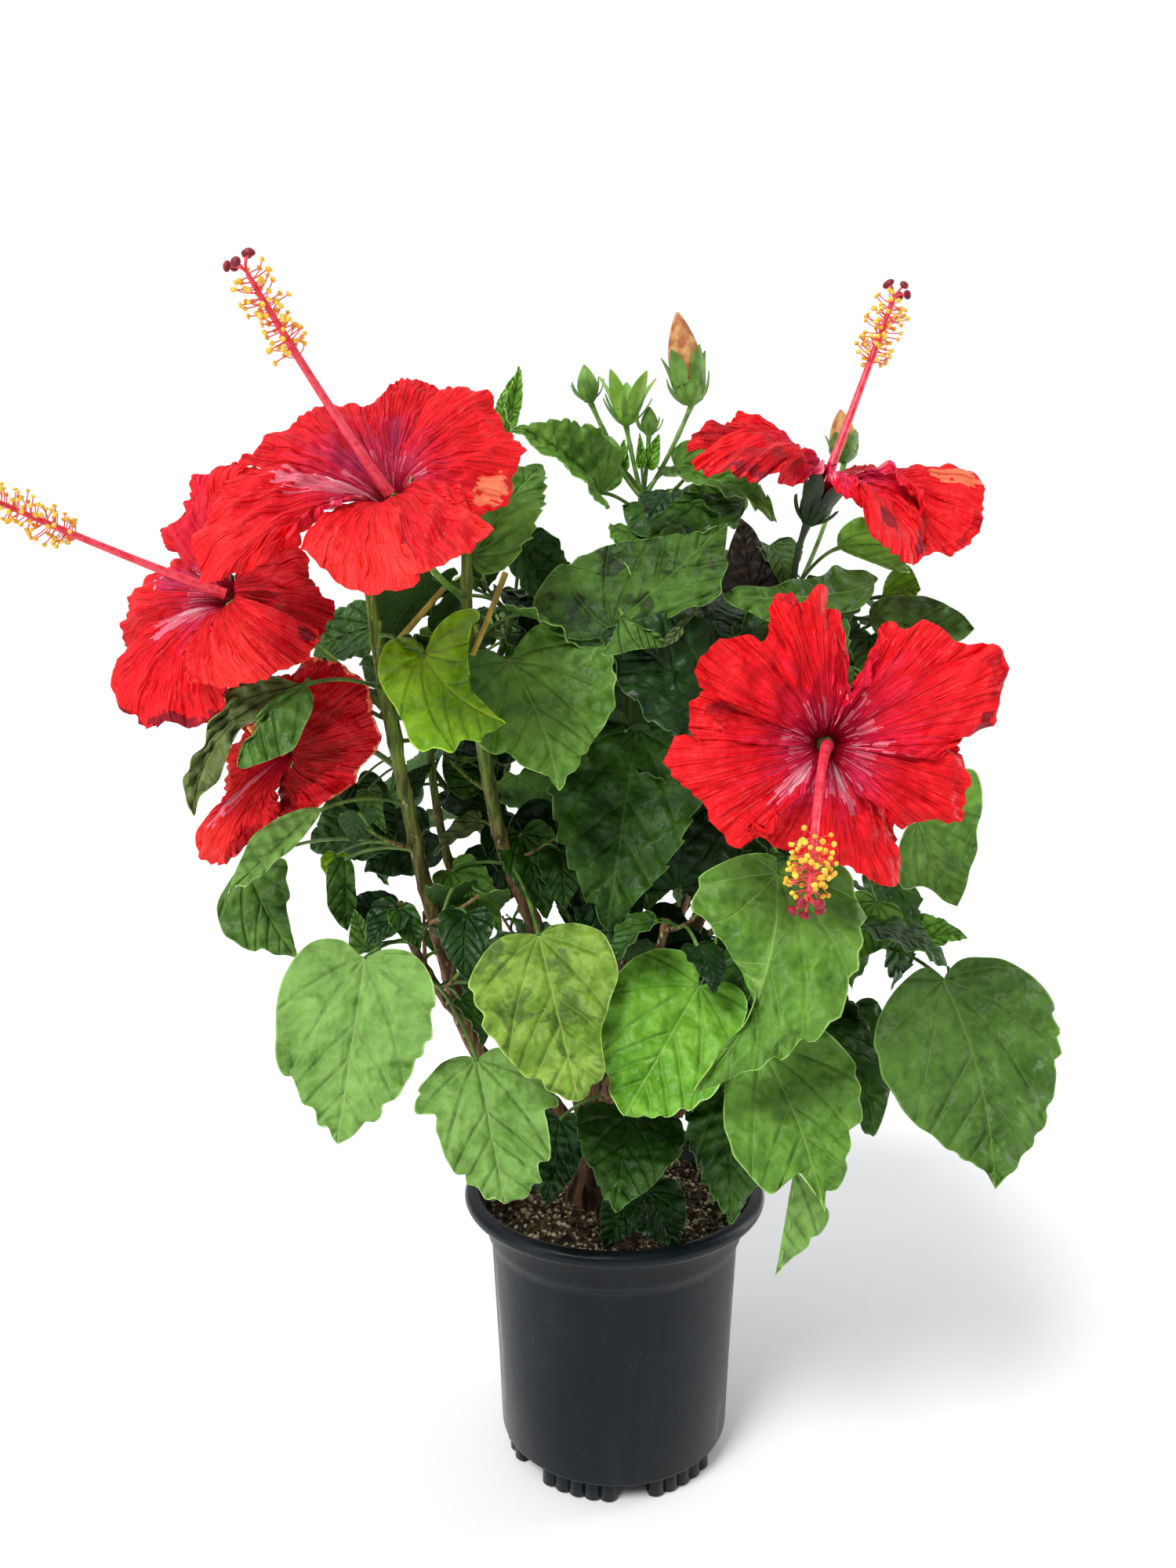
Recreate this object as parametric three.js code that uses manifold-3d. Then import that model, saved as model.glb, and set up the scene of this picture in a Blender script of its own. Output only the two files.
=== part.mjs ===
// A hibiscus shrub in full flower, growing in a black nursery pot.
//
// A short woody trunk forks low into boughs. Each bough ends where it enters a mass of
// leaves, and the stem of that mass carries on along the same line. Five large red blooms
// hang on stalks of their own, and the buds belong to the mass at the top.
//
// Millimetres, +Z up, the front is -Y. The origin is the middle of the pot's underside.

import * as THREE from 'three';
import { mergeVertices } from 'three/addons/utils/BufferGeometryUtils.js';
import Module from 'manifold-3d';

const wasm = await Module();
wasm.setup();

// Driving dimensions of the pot, a one-gallon nursery can
const POT_HEIGHT = 153;
const RIM_RADIUS = 85;
const RIM_ROLL = 4.5;
const COLLAR_TOP_RADIUS = 75.5;
const COLLAR_RADIUS = 72.5;
const COLLAR_HEIGHT = 26;
const BODY_TOP_RADIUS = 70.2;
const BODY_FOOT_RADIUS = 64.7;
const WALL = 2;
const FLOOR_BOTTOM = 9;
const FLOOR_TOP = 14;
const WALL_BOTTOM = 12;
const FOOT_COUNT = 6;
const FOOT_OUTER = 59.5;
const FOOT_INNER = 54;
const FOOT_SPAN = 42;
const FOOT_RIBS = 5;
const FOOT_RIB_DEPTH = 2.2;
const FIRST_GAP_BEARING = 9;
const HUB_RADIUS = 14;
const SPOKE_WIDTH = 4;
const FLOOR_RADIUS = 58;
const COLLAR_STEP = 2;
const MOUTH_RISE = 2;
const LIP_ANGLES = [-90, -30, 30, 90];
const POT_SEGMENTS = 30;
const HUB_SEGMENTS = 24;
const STEPS_PER_RIB = 2;
const FOOT_INNER_STEPS = 4;
const OVERLAP = 1;

// Driving dimensions of the plant
const SOIL_LEVEL = 139;
const TRUNK_FOOT_DEPTH = 4;
const GAP = 0.3;
const CLEARANCE = 0.45;
const TWIG_RADII = [2.4, 1.6];
const TWIG_SAG = 0.12;
const LEAF_THICKNESS = 1.3;
const PETIOLE_RADII = [1.5, 0.55];
const PETIOLE_SINK = 4;
const PETIOLE_RISE = 0.18;
const ROOT_CLEARANCE = 9;
const ROOT_DROP = 12;
const FACE_LIFT = 35;
const PETAL_THICKNESS = 1.4;
const PETAL_TILT = 13;
const PETAL_CUP = 5;
const PETAL_ROUNDING = 0.1;
const THROAT_DEPTH = 16;
const THROAT_RADIUS = 3;
const CALYX_LENGTH = 30;
const CALYX_RADII = [4.5, 9, 8.6];
const CALYX_DROP = 5;
const PEDICEL_RADIUS = 2;
const PEDICEL_BEND = 0.45;
const PEDICEL_SINK = 3;
const BUD_ROOT_SHARE = 0.99;
const BUD_STALK_RADIUS = 1.8;

// How finely limbs are faceted
const TRUNK_SIDES = 10;
const BOUGH_SIDES = 6;
const STEM_SIDES = 5;
const TWIG_SIDES = 4;
const PETIOLE_SIDES = 3;
const LIMB_STEPS = 5;
const TWIG_STEPS = 3;

const UP = new THREE.Vector3(0, 0, 1);
const radians = THREE.MathUtils.degToRad;
const vector = (place) => new THREE.Vector3(...place);
const mix = (a, b, t) => a + (b - a) * t;

// One run of the seeded rule: a linear congruence whose numbers lie from 0 to 1
function seededRun(seed) {
  let state = seed;
  return () => {
    state = (state * 1664525 + 1013904223) % 4294967296;
    return state / 4294967296;
  };
}

// Solids and meshes

function solidFrom(points, faces) {
  const vertProperties = new Float32Array(points.flatMap((p) => [p.x, p.y, p.z]));
  const triVerts = new Uint32Array(faces.flat());
  return new wasm.Manifold(new wasm.Mesh({ numProp: 3, vertProperties, triVerts }));
}

function solidOf(geometry) {
  geometry.deleteAttribute('normal');
  geometry.deleteAttribute('uv');
  const merged = mergeVertices(geometry, 1e-4);
  const index = merged.index.array;
  const faces = [];
  for (let i = 0; i < index.length; i += 3) {
    const [a, b, c] = [index[i], index[i + 1], index[i + 2]];
    if (a !== b && b !== c && c !== a) faces.push(a, b, c);
  }
  const vertProperties = new Float32Array(merged.attributes.position.array);
  return new wasm.Manifold(new wasm.Mesh({ numProp: 3, vertProperties, triVerts: new Uint32Array(faces) }));
}

const fuse = (solids) => wasm.Manifold.union(solids);

// The largest shell alone: loose scraps are dropped and sealed hollows are filled
function largestShell(solid) {
  return solid.decompose().reduce((best, shell) => (shell.volume() > best.volume() ? shell : best));
}

function nodeMesh(name, solid, colour, roughness) {
  const { vertProperties, triVerts } = solid.getMesh();
  const geometry = new THREE.BufferGeometry();
  geometry.setAttribute('position', new THREE.BufferAttribute(vertProperties, 3));
  geometry.setIndex(new THREE.BufferAttribute(triVerts, 1));
  geometry.computeVertexNormals();
  const material = new THREE.MeshStandardMaterial({ color: colour, roughness, metalness: 0 });
  const mesh = new THREE.Mesh(geometry, material);
  mesh.name = name;
  return mesh;
}

// A share of a curve, from one fraction of its length to another
class CurveShare extends THREE.Curve {
  constructor(curve, start, end) {
    super();
    Object.assign(this, { curve, start, end });
  }

  getPoint(t) {
    return this.curve.getPointAt(mix(this.start, this.end, t));
  }
}

// A round limb along a curve. Its radii are spread evenly over its length, and `grow`
// makes it fatter and longer by that much, for a fit with clearance.
function limb(curve, radii, sides, steps, grow = 0) {
  const frames = curve.computeFrenetFrames(steps, false);
  const points = [];
  const faces = [];
  for (let i = 0; i <= steps; i++) {
    const t = i / steps;
    const centre = curve.getPointAt(t);
    if (i === 0) centre.addScaledVector(frames.tangents[0], -grow);
    if (i === steps) centre.addScaledVector(frames.tangents[steps], grow);
    const place = t * (radii.length - 1);
    const low = Math.min(Math.floor(place), radii.length - 2);
    const radius = mix(radii[low], radii[low + 1], place - low) + grow;
    for (let j = 0; j < sides; j++) {
      const angle = (2 * Math.PI * j) / sides;
      const normal = frames.normals[i].clone().multiplyScalar(radius * Math.cos(angle));
      const binormal = frames.binormals[i].clone().multiplyScalar(radius * Math.sin(angle));
      points.push(centre.clone().add(normal).add(binormal));
    }
  }
  const last = steps * sides;
  for (let i = 0; i < steps; i++) {
    for (let j = 0; j < sides; j++) {
      const [a, b] = [i * sides + j, i * sides + ((j + 1) % sides)];
      faces.push([a, b, b + sides], [a, b + sides, a + sides]);
    }
  }
  for (let j = 1; j < sides - 1; j++) {
    faces.push([0, j + 1, j], [last, last + j, last + j + 1]);
  }
  return solidFrom(points, faces);
}

// A thin closed sheet from rows of points. The last row may be a single point, the tip.
function sheet(rows, thickness) {
  const points = rows.flat();
  const starts = [];
  rows.reduce((sum, row) => (starts.push(sum), sum + row.length), 0);
  const skin = [];
  for (let i = 0; i < rows.length - 1; i++) {
    for (let j = 0; j < rows[i].length - 1; j++) {
      const [a, b] = [starts[i] + j, starts[i] + j + 1];
      if (rows[i + 1].length === 1) {
        skin.push([a, b, starts[i + 1]]);
      } else {
        const [c, d] = [starts[i + 1] + j + 1, starts[i + 1] + j];
        skin.push([a, b, c], [a, c, d]);
      }
    }
  }
  const normals = points.map(() => new THREE.Vector3());
  for (const [a, b, c] of skin) {
    const normal = points[b].clone().sub(points[a]).cross(points[c].clone().sub(points[a]));
    [a, b, c].forEach((k) => normals[k].add(normal));
  }
  normals.forEach((normal) => normal.normalize().multiplyScalar(thickness / 2));
  const top = points.map((p, k) => p.clone().add(normals[k]));
  const bottom = points.map((p, k) => p.clone().sub(normals[k]));
  const n = points.length;
  const lastRow = rows.length - 1;
  const edge = rows[0].map((_, j) => j);
  for (let i = 1; i < lastRow; i++) edge.push(starts[i] + rows[i].length - 1);
  for (let j = rows[lastRow].length - 1; j >= 0; j--) edge.push(starts[lastRow] + j);
  for (let i = lastRow - 1; i > 0; i--) edge.push(starts[i]);
  const faces = skin.flatMap(([a, b, c]) => [[a, b, c], [n + a, n + c, n + b]]);
  edge.forEach((a, k) => {
    const b = edge[(k + 1) % edge.length];
    faces.push([b, a, n + a], [b, n + a, n + b]);
  });
  return solidFrom([...top, ...bottom], faces);
}

// The pot

function roundBody(profile, segments) {
  const outline = profile.map(([radius, height]) => new THREE.Vector2(radius, height));
  return solidOf(new THREE.LatheGeometry(outline, segments).rotateX(Math.PI / 2));
}

function potBody() {
  const collarFoot = POT_HEIGHT - COLLAR_HEIGHT;
  const lipMiddle = POT_HEIGHT - RIM_ROLL;
  const lipTop = POT_HEIGHT - 2 * RIM_ROLL;
  const lip = LIP_ANGLES.map((degrees) => [
    RIM_RADIUS - RIM_ROLL + RIM_ROLL * Math.cos(radians(degrees)),
    lipMiddle + RIM_ROLL * Math.sin(radians(degrees)),
  ]);
  return roundBody([
    [0, FLOOR_BOTTOM],
    [FLOOR_RADIUS, FLOOR_BOTTOM],
    [FLOOR_RADIUS, WALL_BOTTOM],
    [BODY_FOOT_RADIUS, WALL_BOTTOM],
    [BODY_TOP_RADIUS, collarFoot - COLLAR_STEP],
    [COLLAR_RADIUS, collarFoot],
    [COLLAR_TOP_RADIUS, lipTop],
    ...lip,
    [COLLAR_TOP_RADIUS, lipMiddle + MOUTH_RISE],
    [COLLAR_TOP_RADIUS - WALL, lipTop],
    [COLLAR_RADIUS - WALL, collarFoot],
    [BODY_TOP_RADIUS - WALL, collarFoot - COLLAR_STEP],
    [BODY_FOOT_RADIUS - WALL, FLOOR_TOP],
    [0, FLOOR_TOP],
  ], POT_SEGMENTS);
}

// One foot: a stretch of ring under the floor, scalloped along its outside
function potFoot(bearing) {
  const shape = new THREE.Shape();
  const steps = FOOT_RIBS * STEPS_PER_RIB;
  const place = (radius, degrees) => {
    const angle = radians(bearing - 90 + degrees);
    return [radius * Math.cos(angle), radius * Math.sin(angle)];
  };
  for (let i = 0; i <= steps; i++) {
    const bulge = FOOT_RIB_DEPTH * Math.abs(Math.sin((Math.PI * i) / STEPS_PER_RIB));
    const at = place(FOOT_OUTER + bulge, FOOT_SPAN * (i / steps - 0.5));
    if (i === 0) shape.moveTo(...at);
    else shape.lineTo(...at);
  }
  for (let i = FOOT_INNER_STEPS; i >= 0; i--) {
    shape.lineTo(...place(FOOT_INNER, FOOT_SPAN * (i / FOOT_INNER_STEPS - 0.5)));
  }
  shape.closePath();
  return solidOf(new THREE.ExtrudeGeometry(shape, { depth: WALL_BOTTOM + OVERLAP, bevelEnabled: false }));
}

function pot() {
  const pieces = [potBody()];
  const depth = FLOOR_BOTTOM + OVERLAP;
  const hub = new THREE.CylinderGeometry(HUB_RADIUS, HUB_RADIUS, depth, HUB_SEGMENTS).rotateX(Math.PI / 2);
  pieces.push(solidOf(hub.translate(0, 0, depth / 2)));
  for (let k = 0; k < FOOT_COUNT; k++) {
    const bearing = FIRST_GAP_BEARING + (360 / FOOT_COUNT) * (k + 0.5);
    pieces.push(potFoot(bearing));
    const reach = FOOT_INNER + OVERLAP;
    const spoke = new THREE.BoxGeometry(reach, SPOKE_WIDTH, depth);
    spoke.translate(reach / 2, 0, depth / 2).rotateZ(radians(bearing - 90));
    pieces.push(solidOf(spoke));
  }
  return fuse(pieces);
}

function soil() {
  const collarFoot = POT_HEIGHT - COLLAR_HEIGHT;
  const lipTop = POT_HEIGHT - 2 * RIM_ROLL;
  const surfaceShare = (SOIL_LEVEL - collarFoot) / (lipTop - collarFoot);
  const surfaceRadius = mix(COLLAR_RADIUS, COLLAR_TOP_RADIUS, surfaceShare) - WALL - GAP;
  return roundBody([
    [0, FLOOR_TOP + GAP],
    [BODY_FOOT_RADIUS - WALL - GAP, FLOOR_TOP + GAP],
    [BODY_TOP_RADIUS - WALL - GAP, collarFoot - COLLAR_STEP],
    [COLLAR_RADIUS - WALL - GAP, collarFoot + GAP],
    [surfaceRadius, SOIL_LEVEL],
    [0, SOIL_LEVEL],
  ], POT_SEGMENTS);
}

// The trunk and the stems. Each stem is one tapering line from its root to its tip. Its
// share up to `enters` is a bough, and the rest is the stem of the mass named after it.
const TRUNK = {
  radii: [15, 10.5, 9, 8.5],
  points: [[-13, 2, SOIL_LEVEL - TRUNK_FOOT_DEPTH], [-12, 3, 155], [-10, 4, 171], [-7, 5, 187]],
};
const STEMS = {
  left: {
    enters: 0.57, radii: [5, 2.8], foliage: 'left_foliage',
    points: [
      [-15, 2, 168], [-38, -8, 204], [-75, -20, 236], [-93, -35, 302],
      [-107, -45, 374], [-117, -52, 438], [-123, -55, 492],
    ],
  },
  middle: {
    enters: 0.47, radii: [5, 2.6], foliage: 'upper_left_foliage',
    points: [
      [-11, 1, 184], [-20, -5, 236], [-40, -25, 299], [-58, -35, 348],
      [-67, -42, 394], [-74, -52, 455], [-74, -60, 503],
    ],
  },
  centre: {
    enters: 0.4, radii: [5, 2.4], foliage: 'top_foliage',
    points: [
      [-6, 8, 186], [-3, 12, 240], [0, 6, 295], [1, -5, 340],
      [6, -15, 420], [11, -25, 500], [13, -30, 532],
    ],
  },
  right: {
    enters: 0.5, radii: [5, 2.6], foliage: 'right_foliage',
    points: [
      [-1, 3, 176], [16, -2, 222], [41, -5, 294], [51, -10, 322],
      [72, -20, 383], [85, -35, 445], [89, -50, 486],
    ],
  },
  back_left: {
    enters: 0.45, radii: [4.4, 2.2], foliage: 'back_left_foliage',
    points: [[-14, 10, 170], [-32, 38, 235], [-58, 68, 315], [-78, 90, 400], [-86, 100, 470]],
  },
  back_right: {
    enters: 0.45, radii: [4.4, 2.2], foliage: 'back_right_foliage',
    points: [[-3, 12, 168], [20, 42, 235], [48, 72, 315], [66, 92, 400], [72, 102, 480]],
  },
  low_left: {
    enters: 0.35, radii: [3, 1.8], foliage: 'low_left_foliage',
    points: [[-80, -24, 252], [-92, -42, 275], [-103, -60, 305], [-108, -70, 330]],
  },
  low_front: {
    enters: 0.28, radii: [3.6, 2], foliage: 'low_front_foliage',
    points: [[-10, -4, 166], [-8, -28, 205], [2, -50, 245], [16, -66, 290], [24, -74, 322]],
  },
  low_right: {
    enters: 0.35, radii: [4, 2.2], foliage: 'low_right_foliage',
    points: [[-3, -3, 164], [34, -26, 205], [76, -45, 262], [102, -60, 315], [112, -66, 342]],
  },
  low_back: {
    enters: 0.45, radii: [4, 2.2], foliage: 'low_back_foliage',
    points: [[-9, 12, 162], [-4, 48, 205], [4, 78, 255], [12, 98, 320]],
  },
  sprout: {
    enters: 0, radii: [2, 1.2], foliage: 'soil_sprout',
    points: [[10, -38, SOIL_LEVEL + GAP], [10, -38, 155], [14, -43, 170]],
  },
};

const lineThrough = (points) => new THREE.CatmullRomCurve3(points.map(vector), false, 'catmullrom', 0.5);

// Leaves. A blade is heart-shaped: rows of [place along the midrib, place of the edge
// along it, half width], all as shares of its length or width. Lobed blades narrow early.
const OVATE_ROWS = [[0, -0.1, 0.3], [0.22, 0.16, 0.5], [0.5, 0.47, 0.5], [0.83, 0.8, 0.29]];
const LOBED_ROWS = [[0, -0.09, 0.29], [0.2, 0.19, 0.48], [0.45, 0.44, 0.5], [0.7, 0.68, 0.25]];
const PLAIN_ROWS = [[0, -0.07, 0.32], [0.46, 0.36, 0.52]];

function facingDirection(bearing) {
  const flat = Math.cos(radians(FACE_LIFT));
  const angle = radians(bearing);
  return new THREE.Vector3(Math.sin(angle) * flat, -Math.cos(angle) * flat, Math.sin(radians(FACE_LIFT)));
}

// The blade and its petiole, which springs from `root` on the stem. The blade's upper side
// looks towards the compass bearing `facing`, its halves rise by `fold` degrees, and its
// midrib arches by `arch` of its length.
function leafSolid(leaf, grow = 0, bladeOnly = false) {
  const { base, tip, width, facing, fold, arch, rows, root } = leaf;
  const midrib = tip.clone().sub(base);
  const length = midrib.length();
  midrib.normalize();
  const face = facingDirection(facing);
  face.addScaledVector(midrib, -face.dot(midrib)).normalize();
  const across = midrib.clone().cross(face);
  const onMidrib = (share) => base.clone().addScaledVector(midrib, share * (length + grow))
    .addScaledVector(face, arch * length * 4 * share * (1 - share));
  const edgePoint = (share, half) => onMidrib(share)
    .addScaledVector(across, half * (width + 2 * grow) * Math.cos(radians(fold)))
    .addScaledVector(face, Math.abs(half) * width * Math.sin(radians(fold)));
  const rowAt = ([middle, side, half]) => [edgePoint(side, -half), onMidrib(middle), edgePoint(side, half)];
  const grid = rows.map(rowAt);
  grid.push([onMidrib(1)]);
  const blade = sheet(grid, LEAF_THICKNESS + 2 * grow);
  if (bladeOnly) return blade;
  const end = onMidrib(0).lerp(onMidrib(rows[1][0]), PETIOLE_SINK / (rows[1][0] * length));
  const bend = root.clone().lerp(base, 0.55).addScaledVector(UP, PETIOLE_RISE * root.distanceTo(base));
  const stalk = new THREE.QuadraticBezierCurve3(root, bend, end);
  const steps = rows === PLAIN_ROWS ? 1 : 2;
  return blade.add(limb(stalk, PETIOLE_RADII, PETIOLE_SIDES, steps, grow));
}

// Leaves that the front shows, by mass: base, tip, width, bearing faced, fold and arch
const SHOWN_LEAVES = {
  left_foliage: [
    [[-149, -78, 439], [-197, -104, 380], 40, -30, 25, 0.06],
    [[-147, -68, 373], [-187, -90, 339], 44, -60, 30, 0.05],
    [[-202, 10, 335], [-177, 0, 283], 46, -10, 10, 0.06],
    [[-128, 12, 360], [-172, 10, 345], 50, -20, 10, 0.05],
    [[-142, -32, 347], [-141, -48, 306], 20, 20, 20, 0.05],
    [[-131, 6, 466], [-169, 14, 452], 36, 10, 10, 0.05],
  ],
  upper_left_foliage: [
    [[-53, -80, 449], [-26, -118, 392], 68, 5, 8, 0.06],
    [[-84, -92, 455], [-54, -130, 420], 66, -15, 35, 0.08],
    [[-72, -56, 500], [-37, -36, 548], 42, 20, 20, 0.06],
    [[-58, -40, 562], [-48, -42, 591], 13, 10, 10, 0.04],
    [[-48, -30, 508], [-29, -22, 470], 32, 10, 15, 0.05],
    [[-88, -20, 336], [-60, -42, 310], 28, 0, 15, 0.05],
    [[-73, 4, 381], [-96, 14, 397], 32, -10, 10, 0.05],
    [[-50, -28, 358], [-36, -50, 318], 32, 0, 15, 0.05],
    [[-38, -96, 322], [-18, -138, 250], 70, 0, 8, 0.05],
  ],
  top_foliage: [
    [[-2, -42, 532], [-48, -62, 566], 42, 0, 20, 0.08],
    [[0, -88, 463], [50, -84, 514], 80, 0, 10, 0.08],
    [[38, -52, 427], [-8, -74, 468], 58, 0, 12, 0.06],
    [[60, -12, 522], [4, -22, 530], 34, 0, 40, 0.06],
    [[30, -14, 548], [80, -38, 522], 32, 0, 30, 0.06],
    [[10, -42, 414], [-6, -82, 320], 76, 0, 8, 0.05],
    [[-13, -34, 344], [-5, -58, 302], 34, 0, 10, 0.05],
  ],
  right_foliage: [
    [[84, -34, 492], [58, -44, 524], 38, -20, 10, 0.06],
    [[112, -66, 488], [52, -98, 484], 44, 0, 25, 0.08],
    [[140, -36, 498], [110, -46, 520], 38, 20, 12, 0.06],
    [[126, -50, 459], [175, -60, 457], 38, 30, 25, 0.06],
    [[145, -60, 374], [168, -80, 333], 34, 20, 10, 0.05],
    [[142, -30, 334], [148, -45, 278], 34, 20, 10, 0.05],
    [[156, -30, 302], [182, -42, 306], 24, 30, 15, 0.05],
    [[32, -44, 332], [40, -38, 392], 64, 0, 8, 0.05],
  ],
  low_left_foliage: [
    [[-123, -85, 306], [-133, -120, 226], 78, -10, 6, 0.05],
    [[-68, -96, 262], [-52, -142, 202], 68, 5, 6, 0.05, 'lobed'],
  ],
  low_front_foliage: [
    [[39, -85, 292], [6, -122, 243], 64, 0, 6, 0.06],
    [[6, -60, 216], [-2, -106, 190], 56, 0, 10, 0.06],
    [[-30, -40, 206], [-36, -60, 168], 34, 0, 10, 0.05],
  ],
  low_right_foliage: [
    [[71, -108, 352], [30, -146, 256], 80, 0, 18, 0.08],
    [[71, -108, 272], [86, -143, 214], 60, 5, 10, 0.05, 'lobed'],
    [[91, -108, 214], [74, -124, 167], 20, 10, 10, 0.05],
    [[152, -84, 298], [178, -128, 204], 92, 15, 6, 0.05],
    [[121, -50, 270], [125, -66, 226], 34, 10, 10, 0.05],
    [[55, -56, 228], [57, -88, 172], 44, 5, 12, 0.05],
  ],
  soil_sprout: [
    [[16, -48, 169], [31, -66, 147], 34, 10, 8, 0.05],
    [[11, -48, 168], [-7, -68, 149], 26, -10, 8, 0.05],
  ],
};

// The seeded rule's own numbers for each mass: its seed, its leaves on the stem, the space
// that they keep to (an ellipsoid's middle and half sizes), and its twigs. A twig springs
// from a share of the stem's length and ends at a tip, with its own count of leaves.
const SEEDED_LEAVES = {
  left_foliage: {
    seed: 11, onStem: 7, middle: [-120, -15, 410], half: [70, 80, 95],
    twigs: [{ at: 0.35, tip: [-118, 5, 405], leaves: 5 }],
  },
  upper_left_foliage: {
    seed: 23, onStem: 8, middle: [-58, -30, 430], half: [72, 90, 110],
    twigs: [{ at: 0.55, tip: [-55, 0, 475], leaves: 5 }],
  },
  top_foliage: {
    seed: 37, onStem: 9, middle: [12, -20, 450], half: [80, 90, 105],
    twigs: [{ at: 0.5, tip: [18, 22, 500], leaves: 6 }],
  },
  right_foliage: {
    seed: 41, onStem: 9, middle: [98, -25, 410], half: [95, 85, 110],
    twigs: [
      { at: 0.2, tip: [125, -12, 400], leaves: 6 },
      { at: 0.6, tip: [112, -22, 470], leaves: 3 },
    ],
  },
  back_left_foliage: {
    seed: 53, onStem: 10, middle: [-78, 90, 400], half: [105, 100, 140],
    twigs: [
      { at: 0.15, tip: [-112, 72, 385], leaves: 6 },
      { at: 0.45, tip: [-55, 118, 460], leaves: 6 },
    ],
  },
  back_right_foliage: {
    seed: 67, onStem: 10, middle: [75, 90, 410], half: [110, 100, 140],
    twigs: [
      { at: 0.15, tip: [108, 78, 380], leaves: 6 },
      { at: 0.45, tip: [40, 120, 465], leaves: 6 },
    ],
  },
  low_left_foliage: { seed: 71, onStem: 4, middle: [-105, -55, 290], half: [55, 70, 70], twigs: [] },
  low_front_foliage: { seed: 83, onStem: 6, middle: [8, -55, 270], half: [65, 75, 95], twigs: [] },
  low_right_foliage: {
    seed: 97, onStem: 7, middle: [105, -50, 290], half: [90, 90, 105],
    twigs: [{ at: 0.2, tip: [140, -20, 305], leaves: 4 }],
  },
  low_back_foliage: {
    seed: 101, onStem: 8, middle: [5, 95, 270], half: [140, 95, 105],
    twigs: [
      { at: 0.05, tip: [-55, 88, 268], leaves: 6 },
      { at: 0.15, tip: [62, 92, 275], leaves: 6 },
    ],
  },
  soil_sprout: { seed: 0, onStem: 0, middle: [0, 0, 0], half: [1, 1, 1], twigs: [] },
};

// Buds by mass: foot of the calyx, tip, greatest radius
const BUDS = {
  top_foliage: [
    [[-14, -28, 578], [-17, -29, 596], 5.5],
    [[4, -30, 566], [5, -30, 592], 10.5],
    [[16, -27, 562], [16, -27, 576], 4.5],
    [[38, -24, 577], [30, -22, 623], 9.5],
    [[0, -34, 546], [-4, -36, 560], 4],
  ],
  right_foliage: [
    [[123, 8, 553], [120, 8, 581], 8],
  ],
};

// Blooms: the heart is the middle of the throat, `root` is where the stalk springs from its
// stem, `rise` is how far the column's middle bows upwards as a share of its length, and
// each petal has a bearing round the axis, a reach, a height above the throat at
// its tip, a width and, where it isn't the usual tilt, a twist about its middle line
const BLOOMS = {
  bloom_top_left: {
    heart: [-104, -125, 529], axis: [-0.35, -0.5, 0.8],
    columnTip: [-153, -152, 608], rise: -0.025, stem: 'middle', root: 0.93,
    petals: [
      [18, 68, 10, 66], [305, 66, 0, 60], [216, 70, -18, 76], [118, 84, -2, 66, -42], [74, 76, 20, 64],
    ],
  },
  bloom_left: {
    heart: [-200, -60, 487], axis: [-0.6, -0.72, 0.35],
    columnTip: [-285, -105, 523], rise: -0.01, stem: 'left', root: 0.8,
    petals: [
      [97, 68, 0, 56], [154, 80, -4, 66, -30], [220, 66, -4, 66], [272, 76, -20, 62], [38, 66, 2, 60],
    ],
  },
  bloom_upper_right: {
    heart: [101, -70, 541], axis: [0.38, -0.1, 0.92],
    columnTip: [132, -56, 624], rise: 0, stem: 'right', root: 0.97,
    petals: [
      [22, 70, -17, 54], [338, 68, -4, 54], [88, 40, -10, 46], [146, 68, -29, 60], [200, 80, -8, 46, 45],
    ],
  },
  bloom_front_right: {
    heart: [87, -150, 415], axis: [0, -0.97, 0.1],
    columnTip: [66, -216, 362], rise: 0.13, stem: 'right', root: 0.8,
    petals: [[30, 70, 5, 76], [110, 70, 2, 60], [194, 62, -8, 62], [250, 61, 2, 56], [303, 76, 5, 72]],
  },
  bloom_low_left: {
    heart: [-187, -20, 402], axis: [-0.6, -0.7, -0.2],
    columnTip: [-186, -48, 417], rise: 0, stem: 'left', root: 0.72,
    petals: [[284, 70, -10, 70], [140, 74, 22, 60], [92, 58, -18, 50], [350, 46, -8, 50], [212, 56, 0, 56]],
  },
};

// A petal's rows: place along its middle line and half width, as shares. It runs from deep
// in the throat over the throat's mouth, swells, and ends at its reach and height.
const PETAL_ROWS = [[0, 0.06], [0.34, 0.27], [0.7, 0.5], [1, 0.38]];
const PETAL_ACROSS = [-1, -0.4, 0.4, 1];
const THROAT_MOUTH = [9, 2];
const PETAL_SWELL = { share: 0.45, rise: 12, follow: 0.6 };

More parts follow.
